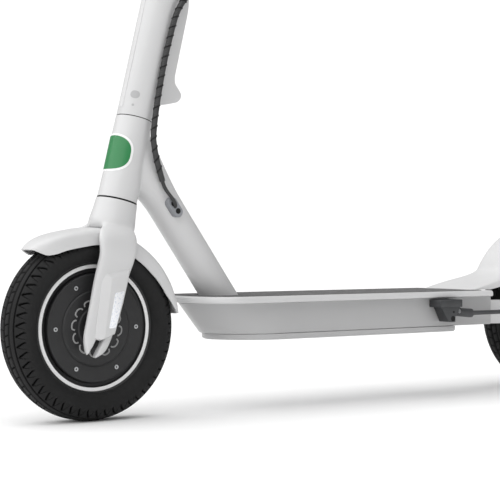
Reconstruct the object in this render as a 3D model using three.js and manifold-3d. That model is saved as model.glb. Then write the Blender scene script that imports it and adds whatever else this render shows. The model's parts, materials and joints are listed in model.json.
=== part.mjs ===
// Electric kick scooter with a fixed stem, a hub motor in the front wheel and a drum brake in the
// rear wheel. Millimetres. +X is the direction of travel, +Y the rider's left, +Z up. The origin is
// on the ground, midway along the length. Inside the scooter group X is counted from the front axle.
import * as THREE from 'three';
import { mergeVertices } from 'three/addons/utils/BufferGeometryUtils.js';
import Module from 'manifold-3d';

const wasm = await Module();
wasm.setup();

// ---- Driving dimensions ----
const GAP = 0.3;                      // between pieces that touch
const WHEEL_RADIUS = 127;             // 10 inch tyre
const TYRE_HALF_WIDTH = 31;
const WHEEL_SIDES = 32;
const RIM_RADIUS = 88.4;
const WHEELBASE = 892;
const REAR_OVERHANG = 147.4;          // rear axle to the back of the tail light
const FRONT_AXLE_X = (WHEELBASE + REAR_OVERHANG - WHEEL_RADIUS) / 2;

const RAKE = THREE.MathUtils.degToRad(14);
const AXIS_SETBACK = 2.2;             // steering axis behind the front axle, at axle height
const CROWN_TOP = 177.2;              // heights along the steering axis, from the axle's level
const HEAD_BOTTOM = 178.6;
const HEAD_TOP = 294.6;
const STEM_BOTTOM = 295.8;
const STEM_TOP = 1040;
const BAR_LEVEL = 1066;
const STEM_RADIUS = 25.5;
const HEAD_RADIUS_LOW = 27.8;
const HEAD_RADIUS_HIGH = 25.7;
const STEERER_RADIUS = 15;
const BEARING_RADIUS = 20.7;

const DECK_TOP = 166.4;
const DECK_THICKNESS = 9.6;
const DECK_HALF_WIDTH = 81.6;
const DECK_NOSE = -150;
const DECK_TAIL = -691;
const MAT_RECESS = 2.2;               // the mat lies in a shallow pocket of the plate
const MAT_THICKNESS = 2.5;
const MAT_INSET = 5;
const BOX_HALF_WIDTH = 68;
const BOX_TOP = 156.5;
const BOX_BOTTOM = 112;
const BOX_TAIL = -699;
const BOX_WALL = 3;
const COVER_BOTTOM = 103.2;
const COVER_TAIL = -620;

const TUBE_RADIUS = 24.6;             // down tube
const TUBE_WALL = 3;
const TUBE_FOOT = new THREE.Vector3(-214.75, 0, 168.4);
const TUBE_DIRECTION = new THREE.Vector3(0.588, 0, 0.809).normalize();

const AXLE_RADIUS = 8;
const AXLE_END_RADIUS = 5;
const NUT_RADIUS = 9.2;               // across the corners, halved
const BEARING_OUTER = 16;
const BEARING_BORE = AXLE_RADIUS + GAP;

const BAR_RADIUS = 14;
const BAR_HALF_LENGTH = 250;
const BAR_SWEEP = -20;                // how far the bar's ends lie behind its middle
const BAR_BEND = -4.4;                // the same where the straight grips begin
const GRIP_LENGTH = 120;

const KICKSTAND_PIVOT = new THREE.Vector3(-607.6, 84, 134.4);
const KICKSTAND_LEAN = THREE.MathUtils.degToRad(14.6);
const KICKSTAND_LENGTH = 136;
const BRAKE_CAM = new THREE.Vector3(0, 0, 26);   // cam shaft above the rear axle
const FENDER_CROWN = 146;             // rear fender's outer radius
const TAIL_LIGHT_ANGLE = THREE.MathUtils.degToRad(160);

// Cable harness: its outer radius, and its middle line from the fairing to the gland.
const HARNESS_RADIUS = 3.8;
const HARNESS = [
  [-153.4, 10.2, 592.3], [-152.9, 12.6, 592], [-149.5, 17.5, 589], [-140.6, 23.8, 582.5],
  [-129.6, 28.2, 570], [-120.8, 29.6, 552], [-113.6, 29.6, 529], [-107, 29.4, 504],
  [-101.6, 29.2, 482], [-97.5, 29.2, 461], [-93.4, 29.5, 440.5], [-89.6, 30, 419.5],
  [-87, 30.5, 405.6], [-86, 30.6, 391.7], [-86.4, 30.8, 379], [-88, 31, 368],
  [-90.8, 31, 357], [-94.4, 31, 346], [-98.6, 30.6, 333], [-103.4, 30, 321],
  [-108.2, 29.6, 312.4], [-111.9, 29.4, 306.9],
];

// ---- Materials ----
const FINISH = {
  frame: { color: 0xd9dadb, roughness: 0.38, metalness: 0.15 },
  plastic: { color: 0xd2d3d4, roughness: 0.45, metalness: 0 },
  rubber: { color: 0x2a2a2b, roughness: 0.85, metalness: 0 },
  mat: { color: 0x4a4b4c, roughness: 0.9, metalness: 0 },
  motor: { color: 0x2f3031, roughness: 0.5, metalness: 0.3 },
  bracket: { color: 0x47484a, roughness: 0.5, metalness: 0.4 },
  steel: { color: 0xa8abad, roughness: 0.3, metalness: 0.9 },
  aluminium: { color: 0xb9bbbd, roughness: 0.35, metalness: 0.9 },
  black: { color: 0x1c1d1f, roughness: 0.4, metalness: 0 },
  lens: { color: 0x16181b, roughness: 0.08, metalness: 0 },
  lamp: { color: 0xe8edf0, roughness: 0.1, metalness: 0 },
  red: { color: 0xa80f12, roughness: 0.2, metalness: 0 },
  cell: { color: 0x2b5a8c, roughness: 0.5, metalness: 0 },
};

// ---- Shape helpers ----

// Merges a geometry's shared vertices, drops triangles that have collapsed and faces the rest out.
function closed(geometry) {
  const bare = geometry.clone();
  bare.deleteAttribute('normal');
  bare.deleteAttribute('uv');
  const merged = mergeVertices(bare, 1e-3);
  const place = merged.attributes.position;
  const corner = [new THREE.Vector3(), new THREE.Vector3(), new THREE.Vector3()];
  const kept = [];
  let volume = 0;
  for (let i = 0; i < merged.index.count; i += 3) {
    const [a, b, c] = [0, 1, 2].map((k) => merged.index.getX(i + k));
    if (a === b || b === c || c === a) continue;
    [a, b, c].forEach((index, k) => corner[k].fromBufferAttribute(place, index));
    volume += corner[0].dot(corner[1].cross(corner[2]));
    kept.push(a, b, c);
  }
  if (volume < 0) kept.reverse();
  merged.setIndex(kept);
  return merged;
}

function solid(geometry) {
  const body = closed(geometry);
  const vertProperties = new Float32Array(body.attributes.position.array);
  const triVerts = new Uint32Array(body.index.array);
  return new wasm.Manifold(new wasm.Mesh({ numProp: 3, vertProperties, triVerts }));
}

function geometryOf(manifold) {
  const mesh = manifold.getMesh();
  const geometry = new THREE.BufferGeometry();
  geometry.setAttribute('position', new THREE.BufferAttribute(mesh.vertProperties, 3));
  geometry.setIndex(new THREE.BufferAttribute(mesh.triVerts, 1));
  return geometry;
}

function join(...pieces) {
  return pieces.map((piece) => solid(piece)).reduce((whole, piece) => whole.add(piece));
}

function cut(body, ...tools) {
  const start = body.isBufferGeometry ? solid(body) : body;
  return tools.reduce((whole, tool) => whole.subtract(solid(tool)), start);
}

function addPart(parent, name, shape, finish) {
  const geometry = shape.isBufferGeometry ? closed(shape) : geometryOf(shape);
  const mesh = new THREE.Mesh(geometry, new THREE.MeshStandardMaterial(FINISH[finish]));
  mesh.name = name;
  parent.add(mesh);
  return mesh;
}

// A solid turned about the Y axis from [radius, y] points, closing on itself when it has a bore.
function turned(profile, segments) {
  const points = profile.map(([radius, y]) => new THREE.Vector2(radius, y));
  if (profile[0][0] > 0) points.push(points[0].clone());
  return new THREE.LatheGeometry(points, segments);
}

// The same, turned about the Z axis.
function turnedUpright(profile, segments) {
  return turned(profile, segments).rotateX(Math.PI / 2);
}

// A straight round bar from one point to another.
function bar(from, to, radius, sides = 16) {
  const along = new THREE.Vector3().subVectors(to, from);
  const up = new THREE.Vector3(0, 1, 0);
  const turn = new THREE.Quaternion().setFromUnitVectors(up, along.clone().normalize());
  const shape = new THREE.CylinderGeometry(radius, radius, along.length(), sides);
  shape.applyQuaternion(turn);
  const middle = new THREE.Vector3().addVectors(from, to).multiplyScalar(0.5);
  return shape.translate(middle.x, middle.y, middle.z);
}

function box(sizeX, sizeY, sizeZ, x, y, z) {
  return new THREE.BoxGeometry(sizeX, sizeY, sizeZ).translate(x, y, z);
}

// A skin stretched over stations, each an oval ring {at, u, v, a, b}: half-size a along u, b along v.
function loft(stations, sides, squareness = 2) {
  const drum = new THREE.CylinderGeometry(1, 1, 1, sides, stations.length - 1);
  const place = drum.attributes.position;
  const point = new THREE.Vector3();
  const swell = (value) => Math.sign(value) * Math.abs(value) ** (2 / squareness);
  for (let i = 0; i < place.count; i += 1) {
    point.fromBufferAttribute(place, i);
    const ring = stations[Math.round((point.y + 0.5) * (stations.length - 1))];
    const angle = Math.atan2(point.z, point.x);
    const reach = Math.hypot(point.x, point.z) > 0.5 ? 1 : 0;
    point.copy(ring.at);
    point.addScaledVector(ring.u, reach * ring.a * swell(Math.cos(angle)));
    point.addScaledVector(ring.v, reach * ring.b * swell(Math.sin(angle)));
    place.setXYZ(i, point.x, point.y, point.z);
  }
  return drum;
}

// A flat outline in X and Y, raised from z to z + height, with its edges rounded by soft.
function slab(shape, z, height, soft = 0, curveSegments = 8) {
  const plate = new THREE.ExtrudeGeometry(shape, {
    depth: height - 2 * soft,
    bevelEnabled: soft > 0,
    bevelThickness: soft,
    bevelSize: soft,
    bevelOffset: -soft,
    bevelSegments: soft > 2.8 ? 2 : 1,
    curveSegments,
  });
  return plate.translate(0, 0, z + soft);
}

// An outline drawn in X and Z, standing from y to y + thickness.
function upright(shape, y, thickness, curveSegments = 6) {
  const plate = new THREE.ExtrudeGeometry(shape, {
    depth: thickness,
    bevelEnabled: false,
    curveSegments,
  });
  return plate.rotateX(Math.PI / 2).translate(0, y + thickness, 0);
}

function polygon(points) {
  return new THREE.Shape(points.map(([x, y]) => new THREE.Vector2(x, y)));
}

function roundedRectangle(halfX, halfY, corner) {
  const shape = new THREE.Shape();
  shape.moveTo(halfX, -halfY + corner);
  shape.lineTo(halfX, halfY - corner);
  shape.absarc(halfX - corner, halfY - corner, corner, 0, Math.PI / 2);
  shape.absarc(-halfX + corner, halfY - corner, corner, Math.PI / 2, Math.PI);
  shape.absarc(-halfX + corner, -halfY + corner, corner, Math.PI, 1.5 * Math.PI);
  shape.absarc(halfX - corner, -halfY + corner, corner, 1.5 * Math.PI, 2 * Math.PI);
  return shape;
}

// A plan outline with straight sides, a square tail and a rounded nose.
function boatOutline(nose, noseLength, fullness, halfWidth, tail, steps = 9) {
  const points = [];
  for (let i = -steps; i <= steps; i += 1) {
    const angle = (i / steps) * Math.PI / 2;
    const along = Math.cos(angle) ** (2 / fullness);
    const across = Math.sign(angle) * Math.abs(Math.sin(angle)) ** (2 / fullness);
    points.push([nose - noseLength + noseLength * along, halfWidth * across]);
  }
  points.push([tail, halfWidth], [tail, -halfWidth]);
  return polygon(points);
}

function tubeAlong(points, radius, sides, steps) {
  const section = new THREE.Shape();
  section.absarc(0, 0, radius, 0, 2 * Math.PI);
  const path = new THREE.CatmullRomCurve3(points.map((p) => new THREE.Vector3(...p)));
  return new THREE.ExtrudeGeometry(section, {
    steps,
    extrudePath: path,
    curveSegments: sides / 2,
    bevelEnabled: false,
  });
}

// A hexagonal nut on an axle's end, from y to y + thickness.
function axleNut(y, thickness) {
  const bore = AXLE_END_RADIUS + GAP;
  const middle = y + thickness / 2;
  const hexagon = new THREE.CylinderGeometry(NUT_RADIUS, NUT_RADIUS, thickness, 6).translate(0, middle, 0);
  return cut(hexagon, new THREE.CylinderGeometry(bore, bore, 2 * thickness, 16).translate(0, middle, 0));
}

// ---- Groups ----
const scooter = new THREE.Group();
scooter.position.x = FRONT_AXLE_X;

const steering = new THREE.Group();
steering.position.set(-AXIS_SETBACK, 0, WHEEL_RADIUS);
steering.rotation.y = -RAKE;

const handlebars = new THREE.Group();
handlebars.position.z = BAR_LEVEL;

const frontWheel = new THREE.Group();
frontWheel.position.z = WHEEL_RADIUS;

const rearWheel = new THREE.Group();
rearWheel.position.set(-WHEELBASE, 0, WHEEL_RADIUS);

scooter.add(steering, frontWheel, rearWheel);
steering.add(handlebars);
steering.updateMatrix();

// Moves a shape drawn on the steering axis into the scooter group's frame.
function fromSteering(geometry) {
  return geometry.applyMatrix4(steering.matrix);
}

// ---- Wheels ----
const SHOULDER = [[125.8, 12], [119.5, 23.5], [107, TYRE_HALF_WIDTH], [RIM_RADIUS + GAP, 20.6]];

function tyre() {
  const left = [[WHEEL_RADIUS, 0], ...SHOULDER, [RIM_RADIUS + GAP, 15.6], [84.4, 12.6]];
  const right = left.slice(1).reverse().map(([radius, y]) => [radius, -y]);
  return turned([...left, ...right], WHEEL_SIDES);
}

// The rim's outer edge, from its left side to its right side, shared by both hubs.
const RIM_SEAT = [[RIM_RADIUS, -20], [RIM_RADIUS, -16], [84, -13], [84, 13], [RIM_RADIUS, 16],
  [RIM_RADIUS, 20]];

function motorShell() {
  const face = [[85.9, 17.8], [80.6, 17.8], [79.6, 14.5], [75.1, 14.5], [75.1, 9.7], [68, 9.7]];
  const mirrored = face.map(([radius, y]) => [radius, -y]).reverse();
  return turned([...RIM_SEAT, ...face, ...mirrored], WHEEL_SIDES);
}

function hubCover() {
  const profile = [[16.3, 10], [74.3, 10], [74.3, 20.5], [73, 22], [53, 22], [50, 23.2],
    [29, 23.2], [27.4, 24.6], [16.3, 24.6]];
  return turned(profile, 24);
}

function bearing(y, width) {
  const end = y + width;
  return turned([[BEARING_BORE, y], [BEARING_OUTER, y], [BEARING_OUTER, end], [BEARING_BORE, end]], 16);
}

function axle(shoulder, end) {
  const half = [[AXLE_RADIUS, shoulder], [AXLE_END_RADIUS, shoulder], [AXLE_END_RADIUS, end],
    [0, end]];
  const other = half.map(([radius, y]) => [radius, -y]).reverse();
  return turned([...other, ...half], 16);
}

function buildFrontWheel() {
  addPart(frontWheel, 'front_tyre', tyre(), 'rubber');
  addPart(frontWheel, 'front_hub', motorShell(), 'motor');
  addPart(frontWheel, 'hub_cover_left', hubCover(), 'motor');
  addPart(frontWheel, 'hub_cover_right', hubCover().rotateX(Math.PI), 'motor');
  addPart(frontWheel, 'front_bearing_left', bearing(13, 8), 'steel');
  addPart(frontWheel, 'front_bearing_right', bearing(-21, 8), 'steel');
  addPart(frontWheel, 'front_axle', axle(30, 51.7), 'steel');
  const stator = [[AXLE_RADIUS + GAP, -9], [30, -9], [34, -7], [64.5, -7], [64.5, 7], [34, 7], [30, 9],
    [AXLE_RADIUS + GAP, 9]];
  addPart(frontWheel, 'motor_stator', turned(stator, 24), 'bracket');
}

function drumHub() {
  const left = [[86, 18.2], [76, 17.2], [73, 8], [31, 8], [28, 21], [BEARING_OUTER + GAP, 21]];
  const right = [[BEARING_OUTER + GAP, -1], [42, -1], [42, -17], [48, -17], [50, -4], [73, -4],
    [76, -17.2], [86, -18.2]];
  return turned([...RIM_SEAT, ...left, ...right], WHEEL_SIDES);
}

function brakeShoe(first) {
  const [inner, outer, sweep] = [33, 40.5, THREE.MathUtils.degToRad(146)];
  const shape = new THREE.Shape();
  shape.absarc(0, 0, outer, first, first + sweep);
  shape.absarc(0, 0, inner, first + sweep, first, true);
  return upright(shape, -14, 11, 9);
}

function brakeArm() {
  const blade = new THREE.Shape();
  blade.absarc(0, 0, 9, THREE.MathUtils.degToRad(20), THREE.MathUtils.degToRad(250));
  blade.lineTo(40, -28);
  blade.absarc(44, -24, 6, THREE.MathUtils.degToRad(-135), THREE.MathUtils.degToRad(45));
  const plate = upright(blade, -27, 4);
  const shaft = bar(new THREE.Vector3(0, -25, 0), new THREE.Vector3(0, -12, 0), 4, 12);
  const eye = bar(new THREE.Vector3(44, -30, -24), new THREE.Vector3(44, -20, -24), 2.2, 10);
  return cut(join(plate, shaft), eye);
}

function buildRearWheel() {
  addPart(rearWheel, 'rear_tyre', tyre(), 'rubber');
  addPart(rearWheel, 'rear_hub', drumHub(), 'motor');
  addPart(rearWheel, 'rear_bearing_left', bearing(12, 8), 'steel');
  addPart(rearWheel, 'rear_bearing_right', bearing(0, 8), 'steel');
  addPart(rearWheel, 'rear_axle', axle(24, 66), 'steel');
  const bore = AXLE_RADIUS + GAP;
  const cover = turned([[bore, -20], [40.5, -20], [41.5, -17.3], [bore, -17.3]], 24);
  const camHole = bar(new THREE.Vector3(0, -25, 26), new THREE.Vector3(0, -12, 26), 4.3, 12);
  addPart(rearWheel, 'brake_backplate', cut(cover, camHole), 'aluminium');
  addPart(rearWheel, 'brake_shoe_front', brakeShoe(THREE.MathUtils.degToRad(-73)), 'bracket');
  addPart(rearWheel, 'brake_shoe_rear', brakeShoe(THREE.MathUtils.degToRad(107)), 'bracket');
  const arm = addPart(rearWheel, 'brake_arm', brakeArm(), 'bracket');
  arm.position.copy(BRAKE_CAM);
  for (const [side, y] of [['left', 59.3], ['right', -64.8]]) {
    addPart(rearWheel, `rear_nut_${side}`, axleNut(y, 5.5), 'steel');
  }
}

// ---- Fenders ----

// A channel round a wheel: a hoop of the section, swollen by radius and width rules, then a sector.
function fender(halfWidth, crown, skirt, wall, grow, widen, keep) {
  const outer = [[skirt, halfWidth], [crown - 10, halfWidth], [crown - 4.6, halfWidth - 2.2],
    [crown - 1.6, halfWidth - 8], [crown, 0]];
  const inner = outer.map(([radius, y]) => [radius - (radius > skirt ? wall : 0), y - Math.sign(y) * wall]);
  const mirror = (list) => list.filter(([, y]) => y > 0).map(([radius, y]) => [radius, -y]);
  const ring = [...outer, ...mirror(outer).reverse(), ...mirror(inner), ...inner.reverse()];
  const hoop = turned(ring, 48);
  const place = hoop.attributes.position;
  for (let i = 0; i < place.count; i += 1) {
    const [x, y, z] = [place.getX(i), place.getY(i), place.getZ(i)];
    const angle = THREE.MathUtils.radToDeg(Math.atan2(z, x));
    const radius = Math.hypot(x, z);
    const scale = (radius + grow(angle)) / radius;
    place.setXYZ(i, x * scale, y * widen(angle), z * scale);
  }
  return solid(hoop).intersect(solid(upright(keep, -90, 180)));
}

function sector(from, to, radius, shape = new THREE.Shape()) {
  shape.moveTo(0, 0);
  const step = THREE.MathUtils.degToRad((to - from) / 4);
  for (let i = 0; i <= 4; i += 1) {
    const angle = THREE.MathUtils.degToRad(from) + i * step;
    shape.lineTo(radius * Math.cos(angle), radius * Math.sin(angle));
  }
  return shape;
}

// Close round the tyre at the back, a little higher at the crown, and in front a narrowing beak.
function frontFender() {
  const lift = (angle) => 4.3 * (1 - THREE.MathUtils.smoothstep(angle, 84, 126));
  const beak = (angle) => 7.8 * THREE.MathUtils.smoothstep(80 - angle, 0, 30);
  const grow = (angle) => (angle > 0 ? lift(angle) + beak(angle) : 0);
  const narrow = (angle) => 1 - 0.5 * THREE.MathUtils.clamp((76 - angle) / 28, 0, 1) ** 3.5;
  const keep = polygon([[0, 0], [0, 112.5], [30, 110.9], [50, 105.1], [64, 99.8], [74, 98.2], [84, 101],
    [94, 106.2], [120, 108], [200, 158], [0, 260], [-260, 240], [-260, 30], [-123.3, 17.9],
    [-117.1, 25.9], [-103.7, 43.6], [-85.3, 68]]);
  return fender(35, 132, 108, 2.2, grow, narrow, keep);
}

function rearFender() {
  const rise = (angle) => 0.2 * Math.max(0, 31 - Math.abs(angle)) ** 2;
  const spread = (angle) => 1 + 0.5 * THREE.MathUtils.smoothstep(31 - Math.abs(angle), 0, 19);
  const shell = fender(38, FENDER_CROWN, 116, 2.6, rise, spread, sector(12, 168, 320));
  return cut(shell, box(60, 200, 20, WHEELBASE + DECK_TAIL + 20, 0, DECK_TOP + GAP - WHEEL_RADIUS - 10));
}

// ---- Fork, covers, stem ----

const AHEAD = new THREE.Vector3(1, 0, 0);

// Rings up the left leg and over the crown: forward place, side place, height, half-depth, half-thickness.
const LEG = [
  [16.4, 40.5, 88, 4, 4], [14.8, 40.5, 92, 10.5, 6], [12.2, 40.5, 99, 16.3, 6], [8.6, 40.5, 116, 21.6, 6],
  [3.1, 40.6, 137, 23, 6], [-3.6, 40.8, 161, 24.3, 6.3], [-10.9, 41.4, 191, 25.6, 6.8],
  [-17, 44, 214, 26.8, 8], [-19.8, 46, 229, 27.6, 8.2], [-20.5, 45.4, 243, 29, 7.8],
  [-20.7, 42.8, 251, 29, 6.4], [-23.5, 39.6, 256.8, 26.4, 4.4], [-32, 33, 261.6, 21.5, 4.2],
  [-37, 22, 266.8, 21.5, 5],
];

function forkRings(spare = 0) {
  const ring = ([x, y, z, a, b]) => ({ at: new THREE.Vector3(x, y, z), a: a + spare, b: b + spare });
  const left = LEG.map(ring);
  const top = ring([-34, 0, 273, 22, 8]);
  const right = LEG.map(([x, y, z, a, b]) => ring([x, -y, z, a, b])).reverse();
  const rings = [...left, top, ...right];
  return rings.map((one, i) => {
    const before = rings[Math.max(i - 1, 0)].at;
    const after = rings[Math.min(i + 1, rings.length - 1)].at;
    const along = new THREE.Vector3().subVectors(after, before).setX(0).normalize();
    return { ...one, u: AHEAD, v: new THREE.Vector3().crossVectors(along, AHEAD) };
  });
}

function fork() {
  const arch = loft(forkRings(), 16, 2.6);
  const neck = fromSteering(turnedUpright([[0, 145], [32, 145], [30.8, 158], [29.4, CROWN_TOP - 3],
    [28.2, CROWN_TOP], [0, CROWN_TOP]], 24));
  const above = fromSteering(box(160, 160, 60, 0, 0, CROWN_TOP + 30));
  const room = STEERER_RADIUS + GAP;
  const bore = fromSteering(turnedUpright([[0, 152], [room, 152], [room, 190], [0, 190]], 20));
  const slotWidth = 2 * (AXLE_END_RADIUS + GAP);
  const slot = box(slotWidth, 160, 60, 0, 0, -30).rotateY(THREE.MathUtils.degToRad(-29));
  const seat = new THREE.CylinderGeometry(slotWidth / 2, slotWidth / 2, 160, 20);
  for (const tool of [slot, seat]) tool.translate(0, 0, WHEEL_RADIUS);
  return cut(join(arch, neck), above, bore, slot, seat);
}

// Rings up the cover on the leg's outer side: forward place, height, half-depth, half-thickness.
const COVER = [[2, 110.5, 10, 3.6], [1, 114, 15, 5.4], [-1, 127, 16.6, 6.2], [-9, 160, 19.2, 6.2],
  [-15.3, 190, 21, 5.8], [-18.3, 204, 21.4, 4.6], [-19.5, 211, 16, 2.6]];
const COVER_MIDDLE = 47.8;

function forkCover(side) {
  const rings = COVER.map(([x, z, a, b]) => {
    const at = new THREE.Vector3(x, side * COVER_MIDDLE, z);
    return { at, u: AHEAD, v: new THREE.Vector3(0, side, 0), a, b };
  });
  const pocket = new THREE.CylinderGeometry(10.5, 10.5, 10, 16).translate(0, side * 47.2, WHEEL_RADIUS);
  const seat = box(200, 10, 200, 0, side * (46.8 - 5), 160);
  return cut(loft(rings, 16, 2.8), pocket, seat, loft(forkRings(GAP), 16, 2.6));
}

function stem() {
  const plug = STEERER_RADIUS + GAP;
  return turnedUpright([[plug, STEM_BOTTOM], [STEM_RADIUS, STEM_BOTTOM], [STEM_RADIUS, STEM_TOP],
    [STEM_RADIUS - 2.5, STEM_TOP], [STEM_RADIUS - 2.5, 345], [plug, 335]], 28);
}

// The fairing behind the stem that takes the harness in at its top and ends in a bag hook.
const FAIRING = [[-18, 323], [-35.6, 326.5], [-57.6, 337.4], [-61.5, 344], [-61, 350], [-54.5, 356],
  [-47.5, 361], [-44.6, 370], [-43.8, 470], [-38, 500], [-18, 514]];
const FAIRING_HALF_WIDTH = 9;

function bagHook() {
  const blade = upright(polygon(FAIRING), -FAIRING_HALF_WIDTH, 2 * FAIRING_HALF_WIDTH);
  const round = turnedUpright([[0, 300], [STEM_RADIUS + GAP, 300], [STEM_RADIUS + GAP, 540], [0, 540]], 32);
  return cut(blade, round);
}

function steeringRing(from, to) {
  const [inner, outer] = [STEERER_RADIUS + GAP, BEARING_RADIUS];
  return turnedUpright([[inner, from], [outer, from], [outer, to], [inner, to]], 20);
}

function buildSteering() {
  const wall = STEERER_RADIUS - 3;
  addPart(steering, 'steerer_tube', turnedUpright([[wall, 152.5], [STEERER_RADIUS, 152.5],
    [STEERER_RADIUS, 330], [wall, 330]], 20), 'steel');
  addPart(scooter, 'fork', fork(), 'frame');
  addPart(scooter, 'fork_cover_left', forkCover(1), 'plastic');
  addPart(scooter, 'fork_cover_right', forkCover(-1), 'plastic');
  addPart(frontWheel, 'front_fender', frontFender(), 'plastic');
  addPart(steering, 'stem_tube', stem(), 'frame');
  addPart(steering, 'bag_hook', bagHook(), 'plastic');
  for (const [side, y] of [['left', 47.1], ['right', -50.5]]) {
    addPart(frontWheel, `front_nut_${side}`, axleNut(y, 3.4), 'steel');
  }
  addPart(scooter, 'cable_harness', tubeAlong(HARNESS, HARNESS_RADIUS, 8, 24), 'rubber');
}

function gland() {
  const middle = new THREE.Vector3(-121.6, 0, 291.6);
  const capsule = new THREE.Shape();
  capsule.absarc(0, 8, 7.5, 0, Math.PI);
  capsule.absarc(0, -8, 7.5, Math.PI, 2 * Math.PI);
  const block = slab(capsule, 0, 14, 1.5, 6).rotateX(Math.PI / 2).rotateZ(Math.PI);
  const lean = Math.atan2(TUBE_DIRECTION.x, TUBE_DIRECTION.z);
  block.rotateY(lean).translate(middle.x, 19, middle.z);
  const low = middle.clone().addScaledVector(TUBE_DIRECTION, -40);
  const high = middle.clone().addScaledVector(TUBE_DIRECTION, 40);
  for (const end of [low, high]) end.copy(onTubeLine(end));
  return cut(block, bar(low, high, TUBE_RADIUS + 2 * GAP, 24));
}

// The point on the down tube's centreline nearest to a given point.
function onTubeLine(point) {
  const along = new THREE.Vector3().subVectors(point, TUBE_FOOT).dot(TUBE_DIRECTION);
  return TUBE_FOOT.clone().addScaledVector(TUBE_DIRECTION, along);
}

// ---- Frame: neck, deck, battery box ----

const TUBE_FRONT = new THREE.Vector3(TUBE_DIRECTION.z, 0, -TUBE_DIRECTION.x);
const SIDEWAYS = new THREE.Vector3(0, 1, 0);

// Rings up the down tube: distance from the foot, swing towards the head tube, half-depth, half-width.
const NECK = [[-40, 0, 24.6, 24.6], [150, 0, 24.6, 24.6], [175, 0.08, 26, 24.6], [200, 0.32, 30.5, 24.4],
  [222, 0.66, 38, 23.6], [247, 1, 47, 21.5]];

function neckRing([distance, swing, a, b], inset = 0) {
  const steeringDown = new THREE.Vector3(Math.sin(RAKE), 0, -Math.cos(RAKE));
  const u = TUBE_FRONT.clone().lerp(steeringDown, swing).normalize();
  const at = TUBE_FOOT.clone().addScaledVector(TUBE_DIRECTION, distance);
  return { at, u, v: SIDEWAYS, a: a - inset, b: b - inset };
}

function frameNeck() {
  const tube = loft(NECK.map((ring) => neckRing(ring)), 20);
  const head = fromSteering(turnedUpright([[0, HEAD_BOTTOM], [HEAD_RADIUS_LOW, HEAD_BOTTOM],
    [HEAD_RADIUS_HIGH, HEAD_TOP], [0, HEAD_TOP]], 24));
  const hollow = loft(NECK.slice(0, 4).map((ring) => neckRing(ring, TUBE_WALL)), 12);
  const seat = BEARING_RADIUS + GAP;
  const bore = fromSteering(turnedUpright([[0, 170], [seat, 170], [seat, 185.3], [17, 185.3], [17, 287.7],
    [seat, 287.7], [seat, 300], [0, 300]], 20));
  const below = box(200, 100, 100, -250, 0, DECK_TOP - MAT_RECESS + GAP - 50);
  const cableHole = bar(new THREE.Vector3(-120, 0, 292), new THREE.Vector3(-120, 40, 292), 3.4, 10);
  return cut(join(tube, head), hollow, bore, below, cableHole);
}

const FOOT_CENTRE = -216.5;

function deckPlate() {
  const plate = slab(boatOutline(DECK_NOSE, 66, 2.5, DECK_HALF_WIDTH, DECK_TAIL), DECK_TOP - DECK_THICKNESS,
    DECK_THICKNESS, 3);
  const pocket = slab(matOutline(GAP), DECK_TOP - MAT_RECESS, 20);
  const hole = new THREE.CylinderGeometry(14, 14, 40, 16).rotateX(Math.PI / 2);
  return cut(plate, pocket, hole.translate(FOOT_CENTRE, 0, DECK_TOP));
}

function matOutline(spare) {
  const halfWidth = DECK_HALF_WIDTH - MAT_INSET + spare;
  return boatOutline(DECK_NOSE - MAT_INSET + spare, 62, 2.5, halfWidth, DECK_TAIL + 16 - spare);
}

function deckMat() {
  const shape = matOutline(0);
  const hole = new THREE.Path();
  hole.absellipse(FOOT_CENTRE + 1.5, 0, 34, 27, 0, 2 * Math.PI);
  shape.holes.push(hole);
  return slab(shape, DECK_TOP - MAT_RECESS + GAP, MAT_THICKNESS, 0, 20);
}

// Leans the nose of a slab forward with height, as the battery box's bow does.
const BOW_SLOPE = 0.84;

function leanBow(geometry, level) {
  const place = geometry.attributes.position;
  for (let i = 0; i < place.count; i += 1) {
    const weight = THREE.MathUtils.smoothstep(place.getX(i), -285, -215);
    place.setX(i, place.getX(i) + weight * BOW_SLOPE * (place.getZ(i) - level));
  }
  return geometry;
}

function batteryBox() {
  const nose = -191.5;
  const outline = boatOutline(nose, 84, 1.8, BOX_HALF_WIDTH, BOX_TAIL);
  const inside = boatOutline(nose - BOX_WALL - 1, 82, 1.8, BOX_HALF_WIDTH - BOX_WALL, BOX_TAIL + BOX_WALL);
  const outer = leanBow(slab(outline, BOX_BOTTOM, BOX_TOP - BOX_BOTTOM), BOX_BOTTOM);
  const inner = leanBow(slab(inside, BOX_BOTTOM + BOX_WALL, 60), BOX_BOTTOM);
  const port = bar(new THREE.Vector3(-265, -50, 136), new THREE.Vector3(-265, -90, 136), 8, 16);
  return cut(outer, inner, port);
}

function bottomCover() {
  const outline = boatOutline(-196, 84, 1.8, BOX_HALF_WIDTH + 1, COVER_TAIL);
  return slab(outline, COVER_BOTTOM, BOX_BOTTOM - GAP - COVER_BOTTOM, 1.4);
}

function chargeCap() {
  const face = roundedRectangle(14, 11, 6);
  return slab(face, 0, 3, 0, 4).rotateX(Math.PI / 2).translate(-265, -BOX_HALF_WIDTH - GAP, 136);
}

function rearFork() {
  const profile = polygon([[-699.4, 150], [-760, 149], [-850, 144], [-901, 143], [-913, 135], [-916, 127],
    [-913, 119], [-901, 111], [-850, 109], [-699.4, 112.4]]);
  const arms = [46, -58].map((y) => upright(profile, y, 12));
  const bridge = box(16, 100, 37, -707.4, 0, 131.5);
  const slot = box(60, 140, 2 * (AXLE_END_RADIUS + GAP), -WHEELBASE - 30, 0, WHEEL_RADIUS);
  const seat = new THREE.CylinderGeometry(AXLE_END_RADIUS + GAP, AXLE_END_RADIUS + GAP, 140, 16)
    .translate(-WHEELBASE, 0, WHEEL_RADIUS);
  return cut(join(...arms, bridge), slot, seat);
}

function tailLight() {
  const face = roundedRectangle(10, 27, 8);
  return slab(face, 0, 6.2, 1.6, 3).rotateY(-Math.PI / 2);
}

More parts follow.
